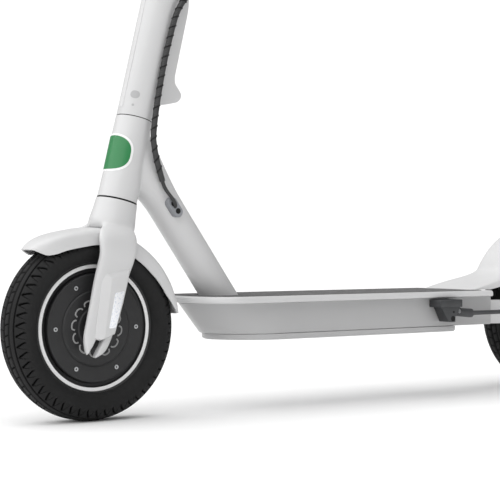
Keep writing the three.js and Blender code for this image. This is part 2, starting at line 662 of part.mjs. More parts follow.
function kickstandBracket() {
  const block = box(53, 16.4, 12, -590.5, 76.6, 148);
  const stop = upright(polygon([[-573, 142.5], [-597, 142.5], [-596.4, 119.4], [-587, 118.8]]), 70, 21.6);
  const cheek = polygon([[-573, 142.5], [-618, 142.5], [-620, 133], [-616, 121], [-606, 116], [-590, 118]]);
  const inner = upright(cheek, 68.4, 3.6);
  const pin = bar(kickstandPoint(-13.5), kickstandPoint(3), 4, 16);
  return join(block, inner, stop, pin);
}

// A point on the kickstand's pivot axis, a distance out from its middle.
function kickstandPoint(out) {
  const axis = new THREE.Vector3(0, Math.cos(KICKSTAND_LEAN), Math.sin(KICKSTAND_LEAN));
  return KICKSTAND_PIVOT.clone().addScaledVector(axis, out);
}

// A ring of the folded leg, a distance back from its pivot: half-height a, half-width b.
function kickstandRing([back, a, b]) {
  const at = KICKSTAND_PIVOT.clone().add(new THREE.Vector3(-back, 0.6, -2.4 * Math.min(back / 28, 1)));
  return { at, u: new THREE.Vector3(0, 0, 1), v: SIDEWAYS, a, b };
}

function kickstandLeg() {
  const hub = bar(kickstandPoint(-8), kickstandPoint(7), 6.8, 16);
  const rings = [[0, 6.6, 6.6], [26, 7, 6.2], [31, 7, 6.2], [34, 3.6, 5.4], [60, 3.4, 5.2],
    [KICKSTAND_LENGTH - 14, 3.4, 5]];
  const leg = loft(rings.map(kickstandRing), 12, 3);
  const pinRoom = bar(kickstandPoint(-14), kickstandPoint(4), 4.3, 16);
  return cut(join(hub, leg), pinRoom);
}

function kickstandFoot() {
  const rings = [[KICKSTAND_LENGTH - 13.7, 4, 5.4], [KICKSTAND_LENGTH - 11, 6.6, 7.2],
    [KICKSTAND_LENGTH, 6.6, 7.2]];
  return loft(rings.map(kickstandRing), 12, 3);
}

function buildFrame() {
  addPart(scooter, 'frame_neck', frameNeck(), 'frame');
  addPart(steering, 'headset_bearing_lower', steeringRing(179, 185), 'steel');
  addPart(steering, 'headset_bearing_upper', steeringRing(288, 294.2), 'steel');
  addPart(scooter, 'deck_plate', deckPlate(), 'frame');
  addPart(scooter, 'deck_mat', deckMat(), 'mat');
  addPart(scooter, 'battery_box', batteryBox(), 'frame');
  addPart(scooter, 'bottom_cover', bottomCover(), 'plastic');
  addPart(scooter, 'battery_pack', box(310, 112, 34, -410, 0, 133), 'cell');
  addPart(scooter, 'motor_controller', box(84, 96, 26, -625, 0, 129), 'aluminium');
  addPart(scooter, 'charge_cap', chargeCap(), 'black');
  addPart(scooter, 'rear_fork', rearFork(), 'frame');
  addPart(rearWheel, 'rear_fender', rearFender(), 'plastic');
  const light = addPart(rearWheel, 'tail_light', tailLight(), 'red');
  light.rotation.y = Math.PI - TAIL_LIGHT_ANGLE;
  light.position.set(Math.cos(TAIL_LIGHT_ANGLE), 0, Math.sin(TAIL_LIGHT_ANGLE));
  light.position.multiplyScalar(FENDER_CROWN + 2 * GAP);
  addPart(scooter, 'kickstand_bracket', kickstandBracket(), 'bracket');
  addPart(scooter, 'kickstand_leg', kickstandLeg(), 'bracket');
  addPart(scooter, 'kickstand_foot', kickstandFoot(), 'rubber');
  addPart(scooter, 'cable_gland', gland(), 'bracket');
}

// ---- Handlebar and its controls, drawn about the bar's middle ----

// The bar's centreline: straight through its clamp, then swept back towards the grips.
function barPath() {
  const half = [[0, 0], [0, 38], [0, 76], [-1.4, 102]];
  for (let i = 0; i <= 3; i += 1) {
    const reach = i / 3;
    half.push([BAR_BEND + reach * (BAR_SWEEP - BAR_BEND), 130 + reach * (BAR_HALF_LENGTH - 130)]);
  }
  const left = half.map(([x, y]) => new THREE.Vector3(x, y, 0));
  const right = half.slice(1).reverse().map(([x, y]) => new THREE.Vector3(x, -y, 0));
  return new THREE.CatmullRomCurve3([...right, ...left]);
}

function handlebar() {
  const section = new THREE.Shape();
  section.absarc(0, 0, BAR_RADIUS, 0, 2 * Math.PI);
  const hollow = new THREE.Path();
  hollow.absarc(0, 0, BAR_RADIUS - 2, 0, 2 * Math.PI, true);
  section.holes.push(hollow);
  return new THREE.ExtrudeGeometry(section, {
    steps: 10,
    extrudePath: barPath(),
    curveSegments: 6,
    bevelEnabled: false,
  });
}

// Lays a shape drawn about the Y axis onto the bar where it crosses y, turned to follow it.
function onBar(shape, y) {
  const path = barPath();
  const steps = [...Array(501).keys()].map((i) => i / 500);
  const offset = (t) => Math.abs(path.getPoint(t).y - y);
  const nearest = steps.reduce((best, t) => (offset(t) < offset(best) ? t : best));
  const at = path.getPoint(nearest);
  const along = path.getTangent(nearest);
  return shape.rotateZ(Math.atan2(-along.x, along.y)).translate(at.x, at.y, 0);
}

function grip() {
  const [bore, half] = [BAR_RADIUS + GAP + 0.3, GRIP_LENGTH / 2];
  return turned([[bore, -half], [18.5, -half], [18.5, -half + 4], [16.6, -half + 7], [17.2, 0],
    [16.6, half - 4], [15.8, half], [bore, half]], 16);
}

function clampRing(halfLength, radius) {
  const bore = BAR_RADIUS + GAP + 0.4;
  return turned([[bore, -halfLength], [radius, -halfLength], [radius, halfLength], [bore, halfLength]], 24);
}

const LEVER_Y = 112;
const LEVER_PIVOT = new THREE.Vector3(28, LEVER_Y, 0);

function leverPin(length, radius) {
  const half = new THREE.Vector3(0, 0, length / 2);
  return bar(LEVER_PIVOT.clone().sub(half), LEVER_PIVOT.clone().add(half), radius, 12);
}

function leverClamp() {
  const ring = onBar(clampRing(9, 19), LEVER_Y);
  const ears = [5.4, -9.4].map((z) => box(26, 18, 4, LEVER_PIVOT.x - 4, LEVER_Y, z + 2));
  return join(ring, ...ears, leverPin(18, 2.6));
}

function brakeLever() {
  const blade = new THREE.Shape();
  blade.moveTo(20, 104);
  blade.lineTo(34, 103);
  blade.quadraticCurveTo(46, 118, 46, 142);
  blade.quadraticCurveTo(45, 190, 38, 214);
  blade.quadraticCurveTo(33, 222, 29, 214);
  blade.quadraticCurveTo(36, 180, 36, 146);
  blade.quadraticCurveTo(35, 128, 24, 120);
  return cut(slab(blade, -5, 10, 1.5, 3), leverPin(24, 2.6 + GAP));
}

const THROTTLE_Y = -108;

// The thumb lever: a ring on the bar, a short arm, and a pad that hangs behind and below the bar.
function throttleLever() {
  const arm = upright(polygon([[-10, -13], [-17, -7], [-31, -19], [-27, -26]]), -4, 8);
  const pad = upright(polygon([[-24, -19], [-29, -15], [-40, -24], [-38, -30], [-33, -30]]), -5, 16);
  return onBar(geometryOf(join(clampRing(4, 19), arm, pad)), THROTTLE_Y);
}

// The bell: a band round the bar, a base plate on it and the dome, beside the striker's plate.
function bell() {
  const plate = slab(roundedRectangle(9, 24, 8), 17, 2.4, 0, 3).translate(0, 77.6, 0);
  const dome = turnedUpright([[0, 18], [17, 18], [17, 23], [14.5, 29], [9, 32.5], [0, 33.6]], 20);
  const band = clampRing(7, 18.2);
  return join(plate, dome.translate(0, 72, 0), band.translate(0, 68, 0));
}

function bellLever() {
  const strip = box(5, 9, 3, 0, 95, 24);
  const stalk = bar(new THREE.Vector3(0, 98, 19.8), new THREE.Vector3(0, 98, 26), 3, 12);
  return join(strip, stalk);
}

function barClamp() {
  const barrel = turned([[0, -36], [22, -36], [22, 36], [0, 36]], 24);
  const seat = STEM_TOP + GAP - BAR_LEVEL;
  const collar = turnedUpright([[0, seat], [STEM_RADIUS, seat], [STEM_RADIUS, -12], [22, 0],
    [0, 0]], 28);
  const room = BAR_RADIUS + GAP;
  const bore = turned([[0, -60], [room, -60], [room, 60], [0, 60]], 16);
  return cut(join(barrel, collar), bore);
}

const BUTTON = { x: -14, y: -30 };    // place of the power button on the dashboard's face
const BUTTON_RADIUS = 7;
const POD_LEVEL = 23;

function dashboard() {
  const pod = slab(roundedRectangle(36, 52, 16), POD_LEVEL, 16, 2.5, 3);
  const window = box(36, 62, 4, 8, 8, POD_LEVEL + 16);
  return cut(pod, window, buttonDisc(BUTTON_RADIUS + 0.4, 8));
}

function displayLens() {
  return box(35.2, 61.2, 1.8, 8, 8, POD_LEVEL + 15.2);
}

// A disc at the power button's place, its middle just under the dashboard's face.
function buttonDisc(radius, height) {
  const disc = new THREE.CylinderGeometry(radius, radius, height, 20).rotateX(Math.PI / 2);
  return disc.translate(BUTTON.x, BUTTON.y, POD_LEVEL + 15);
}

function headlight() {
  const shell = turned([[0, 0], [21, 0], [21, 14], [17, 18], [0, 18]], 20).rotateZ(-Math.PI / 2);
  const room = STEM_RADIUS + GAP;
  const round = turnedUpright([[0, -60], [room, -60], [room, 60], [0, 60]], 32);
  return cut(shell.translate(22, 0, -68), round.translate(0, 0, -68));
}

function buildHandlebars() {
  addPart(handlebars, 'bar_clamp', barClamp(), 'frame');
  addPart(handlebars, 'handlebar', handlebar(), 'black');
  addPart(handlebars, 'grip_left', onBar(grip(), 190), 'rubber');
  addPart(handlebars, 'grip_right', onBar(grip().rotateX(Math.PI), -190), 'rubber');
  addPart(handlebars, 'dashboard', dashboard(), 'black');
  addPart(handlebars, 'display_lens', displayLens(), 'lens');
  addPart(handlebars, 'power_button', buttonDisc(BUTTON_RADIUS, 4), 'red');
  addPart(handlebars, 'headlight', headlight(), 'lamp');
  addPart(handlebars, 'lever_clamp', leverClamp(), 'black');
  addPart(handlebars, 'brake_lever', brakeLever(), 'black');
  addPart(handlebars, 'throttle_clamp', onBar(clampRing(9, 19.5), THROTTLE_Y + 14), 'black');
  addPart(handlebars, 'throttle_lever', throttleLever(), 'black');
  addPart(handlebars, 'bell_dome', bell(), 'aluminium');
  addPart(handlebars, 'bell_lever', bellLever(), 'black');
}

buildFrame();
buildFrontWheel();
buildRearWheel();
buildSteering();
buildHandlebars();

export default scooter;
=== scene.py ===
import json
import math

import bmesh
import bpy
import numpy as np
from mathutils import Matrix, Vector


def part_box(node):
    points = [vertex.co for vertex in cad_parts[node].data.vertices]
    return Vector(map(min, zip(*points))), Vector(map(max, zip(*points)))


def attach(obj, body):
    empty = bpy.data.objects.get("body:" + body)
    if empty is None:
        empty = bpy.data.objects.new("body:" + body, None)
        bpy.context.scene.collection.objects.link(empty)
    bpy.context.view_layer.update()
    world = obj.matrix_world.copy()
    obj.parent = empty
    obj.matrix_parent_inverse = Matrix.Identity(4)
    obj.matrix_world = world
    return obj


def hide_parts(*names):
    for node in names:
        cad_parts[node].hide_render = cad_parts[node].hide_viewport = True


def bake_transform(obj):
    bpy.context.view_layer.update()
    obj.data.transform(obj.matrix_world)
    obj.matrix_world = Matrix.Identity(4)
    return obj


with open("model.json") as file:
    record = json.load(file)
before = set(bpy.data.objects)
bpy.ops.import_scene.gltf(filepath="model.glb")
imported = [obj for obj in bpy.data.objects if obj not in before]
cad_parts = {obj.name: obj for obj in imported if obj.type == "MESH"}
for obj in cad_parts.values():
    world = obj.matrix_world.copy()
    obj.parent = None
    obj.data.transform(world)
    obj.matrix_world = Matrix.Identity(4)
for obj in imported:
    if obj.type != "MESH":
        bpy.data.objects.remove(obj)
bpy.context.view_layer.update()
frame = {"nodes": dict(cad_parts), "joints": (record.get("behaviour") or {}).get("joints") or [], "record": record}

# ---- Places and sizes taken from the frame. Shapes are drawn in millimetres and placed by matrices ----

MM = 0.001
RECORD = frame["record"]
JOINTS = {joint["name"]: joint for joint in frame["joints"]}
BODY = {node: body for body, nodes in RECORD["behaviour"]["bodies"].items() for node in nodes}
SLOT = {part["node"]: part["material_slot"] for part in RECORD["subparts"]}
FRONT_AXLE = Vector(JOINTS["front_wheel_spin"]["pos_m"])
REAR_AXLE = Vector(JOINTS["rear_wheel_spin"]["pos_m"])
STEER_POINT = Vector(JOINTS["steering_turn"]["pos_m"])
STEER_AXIS = Vector(JOINTS["steering_turn"]["axis"]).normalized()
RAKE = math.asin(-STEER_AXIS.x)
WHEEL_RADIUS = FRONT_AXLE.z / MM
STEER_FOOT = STEER_POINT + STEER_AXIS * ((FRONT_AXLE.z - STEER_POINT.z) / STEER_AXIS.z)
BAR_LEVEL = (Vector(JOINTS["brake_lever_pull"]["pos_m"]) - STEER_FOOT).dot(STEER_AXIS) / MM

SCALE = Matrix.Scale(MM, 4)
SCOOTER = Matrix.Translation((FRONT_AXLE.x, 0, 0)) @ SCALE
STEERING = Matrix.Translation(STEER_FOOT) @ Matrix.Rotation(-RAKE, 4, "Y") @ SCALE
HANDLEBAR = STEERING @ Matrix.Translation((0, 0, BAR_LEVEL))
STAND_UP = Matrix(((1, 0, 0, 0), (0, 0, 1, 0), (0, 1, 0, 0), (0, 0, 0, 1)))
FRONT_WHEEL = Matrix.Translation(FRONT_AXLE) @ SCALE
REAR_WHEEL = Matrix.Translation(REAR_AXLE) @ SCALE


def box_mm(node, place=SCOOTER):
    """Lowest and highest corner of a CAD node in a level frame's millimetres."""
    low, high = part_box(node)
    back = place.inverted()
    return back @ low, back @ high


# ---- Sizes in millimetres ----

LENS_LENGTH = 108.2
VIEW_HEADING = 35.98          # degrees, the camera's turn from straight across
VIEW_DIP = 0.32
CAMERA_OFFSET = (1.02498, 1.78724, 0.11672)                # metres, from the front axle

# Tyres
PITCHES = 54                  # blocks round the tyre
COLUMNS = 18                  # places across one block
TREAD_ROWS = 78
GROOVES = ((0, 1.6, 3.0), (11, 0.9, 2.2), (19.2, 0.8, 2.0))   # from the middle, half-width, depth
TYRE_SECTION = [(88.7, 20.6), (93.6, 26.6), (100, 30.2), (107, 31), (113.6, 28.6), (119.5, 23.5),
                (123.4, 18.2), (125.8, 12), (126.8, 6), (127, 0)]

# Wheels
RIM_SEAT = [(88.4, -20), (88.4, -16), (84, -13), (84, 13), (88.4, 16), (88.4, 20)]
HUB_FACE = [(86.2, 17.6), (80.4, 17.6), (79.6, 14.5), (75.1, 14.5), (75.1, 9.7), (68, 9.7)]
SCREW_CIRCLE = 62.5
MARK_CIRCLE = 37.3
MARK_COUNT = 12

# Fork and its covers
LEG = [(16.4, 40.5, 88, 4, 4), (14.8, 40.5, 92, 10.5, 6), (12.2, 40.5, 99, 16.3, 6),   # centre, half-sizes
       (8.6, 40.5, 116, 21.6, 6), (3.1, 40.6, 137, 23, 6), (-3.6, 40.8, 161, 24.3, 6.3),
       (-10.9, 41.4, 191, 25.6, 6.8), (-17, 44, 214, 26.8, 8), (-19.8, 46, 229, 27.6, 8.2),
       (-20.5, 45.4, 243, 29, 7.8), (-20.7, 42.8, 251, 29, 6.4), (-22.3, 39.4, 256.4, 27.8, 4.6),
       (-25.4, 33, 260.6, 27.4, 3.6), (-33.5, 22, 265, 25, 5)]
LEG_TOP = (-34, 0, 273, 22, 8)
CROWN_TOP = 177.2             # along the steering axis
AHEAD = np.array((1.0, 0, 0))
COVER_FRONT = [(111, 17.0), (117, 16.5), (197, 5.3), (207, 1.9), (212, 0.4)]      # height, forward place
COVER_REAR = [(111, -8), (120, -13.6), (137, -19), (161, -26.4), (191, -34.4), (212, -38)]
COVER_FOOT = [(0, 113.6), (0.33, 111.5), (0.66, 115), (1, 119.7)]                 # share from front, height
COVER_BASE = 46.2
COVER_FACE = 53.3
CHAMFER = 12.0
REFLECTOR = [(-11, 175), (-25.8, 177), (-11.8, 128), (-1.5, 127.6)]

# Fenders
FENDER_SECTION = [(108, 35.2), (114, 35.2), (120, 35), (124.6, 33.9), (128.2, 30.6),     # radius, side
                  (130.4, 24.5), (131.6, 14), (132, 0)]
TAIL = [(108, 133), (109.1, 141.4), (112.5, 157.2), (119.9, 167.5),                      # radius, turn
        (124.6, 171.7), (132, 173)]
REAR_CROWN = 146
REAR_HALF_WIDTH = 38
TONGUE_TURN = 31              # degrees above level, where the rear fender leaves the wheel
LIP = [(47.7, 145.2), (48.4, 142), (49.4, 136), (50.3, 131.3), (51.6, 126), (53, 123),     # turn, radius
       (56.2, 119.7), (59.9, 117.7), (64.6, 116.3), (71, 115.5), (75, 115), (80, 113.7),
       (87, 112.6), (104, 108)]

# Frame neck, head and stem
HEAD_BOTTOM = 178.6           # heights along the steering axis
HEAD_TOP = 294.6
STEM_BOTTOM = 295.8
STEM_TOP = 1040.0
STEM_RADIUS = 25.5
TUBE_FOOT = np.array((-214.75, 0, 168.4))                  # the down tube, from the deck to the head
TUBE_WAY = np.array((0.588, 0, 0.809)) / np.linalg.norm((0.588, 0, 0.809))
NECK = [(-40, 0, 24.6, 24.6), (60, 0, 24.6, 24.6), (150, 0, 24.6, 24.6),     # distance, swing, half-sizes
        (175, 0.08, 26, 24.6), (200, 0.32, 30.5, 24.4), (222, 0.66, 38, 23.6), (247, 1, 47, 21.5)]
# The outline of the bag hook's fairing, seen from the side
FAIRING = [(-18, 323), (-35.6, 326.5), (-57.6, 337.4), (-61.5, 344), (-61, 350), (-54.5, 356), (-47.5, 361),
           (-44.6, 370), (-43.8, 470), (-38, 500), (-18, 514)]

# Cable harness and gland
HARNESS = [(-153.4, 10.2, 592.3), (-149.5, 17.5, 589), (-140.6, 23.8, 582.5), (-129.6, 28.2, 570),
           (-120.8, 29.6, 552), (-107, 29.4, 504), (-97.5, 29.2, 461), (-89.6, 30, 419.5), (-86, 30.6, 391.7),
           (-86.4, 30.8, 379), (-90.8, 31, 357), (-98.6, 30.6, 333), (-103.4, 30, 321), (-107.4, 32, 313),
           (-112, 36.4, 304.6), (-116.2, 37.2, 298), (-119.4, 34.6, 293.6), (-120.6, 30, 292)]
WRAP_END = 11                 # the wrap stops beside this point of the path
WRAP_RADIUS = 4.1
CABLE_RADIUS = 2.6
GLAND_PLACE = (-121.6, 19, 291.6)

# Deck
DECK_NOSE = -150
DECK_NOSE_LENGTH = 66
DECK_FULLNESS = 2.5
MAT_INSET = 5
MAT_NOSE_LENGTH = 62
BOX_NOSE = -191.5
COVER_NOSE = -196
BOX_NOSE_LENGTH = 84
BOX_FULLNESS = 1.8
FOOT_CENTRE = -216.5
BOW_SLOPE = 0.84

# Kickstand bracket
STAND_BOTTOM = 142.4          # underside of its plate
STAND_SIDE = 95               # its outer face
STAND_LEAN = 14.6             # degrees, of its pin

# Handlebar
BAR_BEND = -4.4
BAR_SWEEP = -20
BAR_RADIUS = 14
BAR_HALF_LENGTH = 250
BAR_OUT = 130                 # where the straight outer part begins

# CAD nodes that are shown as they are, with their edges rounded
EDGES = {
    "kickstand_leg": 1.0, "kickstand_foot": 1.0, "charge_cap": 0.8, "rear_fork": 1.6,
    "tail_light": 0.8, "front_nut_left": 0.6, "front_nut_right": 0.6, "rear_nut_left": 0.6,
    "rear_nut_right": 0.6, "front_axle": 0.5, "rear_axle": 0.5, "lever_clamp": 0.8, "brake_lever": 1.2,
    "throttle_clamp": 0.8, "throttle_lever": 0.9, "bell_lever": 0.5, "bar_clamp": 0.8, "dashboard": 1.2,
    "display_lens": 0.3, "power_button": 0.5, "headlight": 1.0, "brake_arm": 0.6, "brake_backplate": 0.5,
}


# ---- Camera, light and floor ----

def make_camera():
    """The view from ahead and to the left, just above the deck's level."""
    lens = bpy.data.cameras.new("camera")
    lens.sensor_width = 36
    lens.lens = LENS_LENGTH
    camera = bpy.data.objects.new("camera", lens)
    bpy.context.scene.collection.objects.link(camera)
    heading = math.radians(VIEW_HEADING)
    dip = math.radians(VIEW_DIP)
    look = Vector((-math.sin(heading) * math.cos(dip), -math.cos(heading) * math.cos(dip), -math.sin(dip)))
    camera.location = FRONT_AXLE + Vector(CAMERA_OFFSET)
    camera.rotation_euler = look.to_track_quat("-Z", "Y").to_euler()
    bpy.context.scene.camera = camera


def sun(name, source, spread, strength):
    lamp = bpy.data.lights.new(name, "SUN")
    lamp.angle = math.radians(spread)
    lamp.energy = strength
    light = bpy.data.objects.new(name, lamp)
    light.rotation_euler = (-Vector(source)).to_track_quat("-Z", "Y").to_euler()
    bpy.context.scene.collection.objects.link(light)


def put(node, **values):
    """Sets a shader node's inputs by name, with an underscore for each space."""
    for name, value in values.items():
        node.inputs[name.replace("_", " ")].default_value = value


def make_studio():
    world = bpy.data.worlds.new("studio")
    bpy.context.scene.world = world
    world.use_nodes = True
    nodes = world.node_tree.nodes
    links = world.node_tree.links
    soft = nodes["Background"]
    put(soft, Color=(1, 1, 1, 1), Strength=0.32)
    seen = nodes.new("ShaderNodeBackground")
    put(seen, Color=(1, 1, 1, 1), Strength=1.1)
    path = nodes.new("ShaderNodeLightPath")
    pick = nodes.new("ShaderNodeMixShader")
    links.new(path.outputs["Is Camera Ray"], pick.inputs["Fac"])
    links.new(soft.outputs["Background"], pick.inputs[1])
    links.new(seen.outputs["Background"], pick.inputs[2])
    links.new(pick.outputs["Shader"], nodes["World Output"].inputs["Surface"])
    sun("key", (0.5, 0.0, 0.9), 110, 3.2)
    bpy.context.scene.view_settings.view_transform = "Standard"


def make_floor():
    mesh = bpy.data.meshes.new("floor")
    reach = 30
    corners = [(-reach, -reach, 0), (reach, -reach, 0), (reach, reach, 0), (-reach, reach, 0)]
    mesh.from_pydata(corners, [], [(0, 1, 2, 3)])
    floor = bpy.data.objects.new("floor", mesh)
    bpy.context.scene.collection.objects.link(floor)
    paint = bpy.data.materials.new("floor")
    paint.use_nodes = True
    put(paint.node_tree.nodes["Principled BSDF"], Base_Color=(0.99, 0.99, 0.99, 1), Roughness=0.9)
    mesh.materials.append(paint)


# ---- Materials ----

class Finish:
    """A material under construction: a Principled shader with textures laid over the object's own space."""

    def __init__(self, name, metal=0.0, coat=0.0):
        self.material = bpy.data.materials.new(name)
        self.material.use_nodes = True
        self.tree = self.material.node_tree
        self.shader = self.tree.nodes["Principled BSDF"]
        put(self.shader, Metallic=metal, Coat_Weight=coat)
        self.where = self.tree.nodes.new("ShaderNodeTexCoord").outputs["Object"]
        self.normal = None

    def node(self, kind, **settings):
        made = self.tree.nodes.new(kind)
        for key, value in settings.items():
            setattr(made, key, value)
        return made

    def lay(self, texture, output, **values):
        """Sets a texture's inputs and lays it over the object's own space."""
        put(texture, **values)
        self.tree.links.new(self.where, texture.inputs["Vector"])
        return texture.outputs[output]

    def noise(self, scale, detail=3.0):
        return self.lay(self.node("ShaderNodeTexNoise"), "Fac", Scale=scale, Detail=detail)

    def cells(self, scale):
        return self.lay(self.node("ShaderNodeTexVoronoi"), "Distance", Scale=scale)

    def bands(self, scale, direction):
        wave = self.node("ShaderNodeTexWave", bands_direction=direction)
        return self.lay(wave, "Fac", Scale=scale, Distortion=0.4)

    def colour(self, pattern, dark, light, low=0.3, high=0.7):
        ramp = self.node("ShaderNodeValToRGB")
        ramp.color_ramp.elements[0].position = low
        ramp.color_ramp.elements[0].color = (*dark, 1)
        ramp.color_ramp.elements[1].position = high
        ramp.color_ramp.elements[1].color = (*light, 1)
        self.tree.links.new(pattern, ramp.inputs["Fac"])
        self.tree.links.new(ramp.outputs["Color"], self.shader.inputs["Base Color"])

    def roughness(self, pattern, low, high):
        spread = self.node("ShaderNodeMapRange")
        put(spread, To_Min=low, To_Max=high)
        self.tree.links.new(pattern, spread.inputs["Value"])
        self.tree.links.new(spread.outputs["Result"], self.shader.inputs["Roughness"])

    def relief(self, pattern, depth, strength=0.5):
        bump = self.node("ShaderNodeBump")
        put(bump, Distance=depth, Strength=strength)
        self.tree.links.new(pattern, bump.inputs["Height"])
        if self.normal is not None:
            self.tree.links.new(self.normal, bump.inputs["Normal"])
        self.normal = bump.outputs["Normal"]
        self.tree.links.new(self.normal, self.shader.inputs["Normal"])


def shade(tone, share):
    return tuple(channel * share for channel in tone)


def powder_coat(name, tone):
    made = Finish(name, coat=0.15)
    broad = made.noise(9)
    made.colour(broad, shade(tone, 0.97), tone)
    made.roughness(made.noise(60), 0.34, 0.44)
    made.relief(made.noise(1400), 0.00006, 0.25)
    return made.material


def moulded(name, tone, rough=0.5):
    made = Finish(name)
    made.colour(made.noise(14), shade(tone, 0.95), tone)
    made.roughness(made.noise(90), rough - 0.06, rough + 0.06)
    made.relief(made.cells(1600), 0.00006, 0.35)
    return made.material


def rubber(name, tone, shade_attribute=None):
    """Black rubber; where it is cut into a tread, the named attribute darkens the grooves with painted shade."""
    made = Finish(name)
    made.colour(made.noise(40, 5), shade(tone, 0.75), tone)
    if shade_attribute:
        # Painted shade: the grooves' colour is mixed towards near black by how deep they are cut.
        depth = made.node("ShaderNodeAttribute", attribute_name=shade_attribute)
        mix = made.node("ShaderNodeMixRGB")
        put(mix, Color2=(*shade(tone, 0.12), 1))
        surface = made.shader.inputs["Base Color"].links[0].from_socket
        made.tree.links.new(depth.outputs["Fac"], mix.inputs["Fac"])
        made.tree.links.new(surface, mix.inputs["Color1"])
        made.tree.links.new(mix.outputs["Color"], made.shader.inputs["Base Color"])
    put(made.shader, Specular_IOR_Level=0.3)
    made.roughness(made.noise(200), 0.62, 0.82)
    made.relief(made.noise(900, 4), 0.0001, 0.4)
    return made.material


def cast(name, tone, metal):
    made = Finish(name, metal=metal)
    made.colour(made.noise(30, 4), shade(tone, 0.8), tone)
    made.roughness(made.noise(160), 0.42, 0.58)
    made.relief(made.noise(1100, 4), 0.00009, 0.4)
    return made.material


def turned_metal(name, tone):
    made = Finish(name, metal=0.9)
    made.colour(made.noise(80, 4), shade(tone, 0.8), tone)
    made.roughness(made.noise(300), 0.24, 0.4)
    made.relief(made.bands(500, "Y"), 0.00003, 0.3)
    return made.material


def mat_surface(name, tone):
    made = Finish(name)
    made.colour(made.noise(70, 5), shade(tone, 0.7), tone)
    made.roughness(made.noise(220), 0.78, 0.95)
    made.relief(made.cells(700), 0.0003, 0.6)
    return made.material


def woven(name, tone):
    made = Finish(name)
    made.colour(made.bands(260, "DIAGONAL"), shade(tone, 0.6), tone)
    made.roughness(made.noise(400), 0.6, 0.8)
    made.relief(made.bands(420, "DIAGONAL"), 0.0002, 0.6)
    return made.material


def lens_glass(name, tone, rough):
    made = Finish(name, coat=0.8)
    made.colour(made.noise(20), shade(tone, 0.85), tone)
    made.roughness(made.noise(50), rough, rough + 0.05)
    made.relief(made.bands(160, "Z"), 0.0001, 0.3)
    return made.material


def reflective(name):
    made = Finish(name, metal=0.3)
    comb = made.cells(420)
    made.colour(comb, (0.74, 0.78, 0.86), (0.95, 0.96, 0.98), 0.2, 0.5)
    made.roughness(comb, 0.25, 0.5)
    made.relief(comb, 0.0002, 0.5)
    return made.material


def make_finishes():
    makers = {
        "frame_paint": (powder_coat, (0.62, 0.62, 0.623)),
        "cover_plastic": (moulded, (0.62, 0.62, 0.623)),
        # The tyre's rubber darkens its grooves by their depth: painted shade.
        "tyre_rubber": (rubber, (0.0115, 0.0115, 0.0118), "cut_depth"),
        "hub_black": (cast, (0.02, 0.02, 0.021), 0.1),
        "mat_rubber": (mat_surface, (0.2, 0.2, 0.2)),
        "black_rubber": (rubber, (0.03, 0.03, 0.031)),
        "steel": (turned_metal, (0.42, 0.43, 0.44)),
        "bare_aluminium": (turned_metal, (0.6, 0.61, 0.62)),
        "bracket_grey": (cast, (0.06, 0.062, 0.065), 0.3),
        "black_plastic": (moulded, (0.02, 0.02, 0.022), 0.42),
        "black_paint": (powder_coat, (0.02, 0.02, 0.022)),
        "gland_grey": (moulded, (0.27, 0.28, 0.3)),
        "display_black": (lens_glass, (0.008, 0.009, 0.012), 0.08),
        "lamp_clear": (lens_glass, (0.75, 0.77, 0.8), 0.1),
        "red_plastic": (lens_glass, (0.32, 0.012, 0.014), 0.16),
        "battery_wrap": (moulded, (0.05, 0.16, 0.3), 0.4),
        # The frame's paint made darker for the box and its lid: painted shade on their sides.
        "box_paint": (powder_coat, (0.44, 0.44, 0.443)),
        "white_print": (powder_coat, (0.86, 0.86, 0.86)),
        "green_print": (powder_coat, (0.02, 0.2, 0.06)),
        "plug_grey": (moulded, (0.42, 0.42, 0.425)),
        "mark_grey": (moulded, (0.3, 0.3, 0.3)),
        # Near black for painted shade in gaps, holes and the harness wrap's seams.
        "seam_black": (rubber, (0.008, 0.008, 0.008)),
        "harness_grey": (woven, (0.05, 0.05, 0.051)),
        "reflector": (reflective,),
    }
    return {name: maker(name, *values) for name, (maker, *values) in makers.items()}


# ---- Shape helpers ----

def smoothstep(value, low, high):
    share = np.clip((np.asarray(value, float) - low) / (high - low), 0, 1)
    return share * share * (3 - 2 * share)


def curve(rows, value):
    """Reads a table of [place, height] rows at a place."""
    rows = np.array(rows)
    return np.interp(value, rows[:, 0], rows[:, 1])


def unit(vectors):
    """Rows of vectors brought to length 1."""
    return vectors / np.linalg.norm(vectors, axis=1, keepdims=True)


def distances(path):
    """How far along a path each of its points lies."""
    return np.concatenate([[0], np.cumsum(np.linalg.norm(np.diff(path, axis=0), axis=1))])


def both_sides(half):
    """Half a section, as [radius, side] rows, with its mirror image after it."""
    return np.vstack([half, half[::-1][1:] * (1, -1)])


def spline(rows, steps):
    """Rows of numbers run through smoothly, with steps places between each pair."""
    rows = np.array(rows, float)
    padded = np.vstack([2 * rows[0] - rows[1], rows, 2 * rows[-1] - rows[-2]])
    out = []
    for i in range(len(rows) - 1):
        p, q, r, s = padded[i:i + 4]
        for k in range(steps):
            t = k / steps
            out.append(0.5 * (2 * q + (r - p) * t + (2 * p - 5 * q + 4 * r - s) * t * t
                              + (3 * q - p - 3 * r + s) * t ** 3))
    out.append(rows[-1])
    return np.array(out)


def soften(points, radius, steps=4, around=True):
    """A flat polyline with its corners rounded."""
    points = [np.array(point, float) for point in points]
    out = []
    for i, here in enumerate(points):
        if not around and i in (0, len(points) - 1):
            out.append(here)
            continue
        before = points[i - 1] - here
        after = points[(i + 1) % len(points)] - here
        reach = min(radius, 0.45 * np.linalg.norm(before), 0.45 * np.linalg.norm(after))
        start = here + before / np.linalg.norm(before) * reach
        end = here + after / np.linalg.norm(after) * reach
        for k in range(steps + 1):
            t = k / steps
            out.append((1 - t) ** 2 * start + 2 * t * (1 - t) * here + t * t * end)
    return out


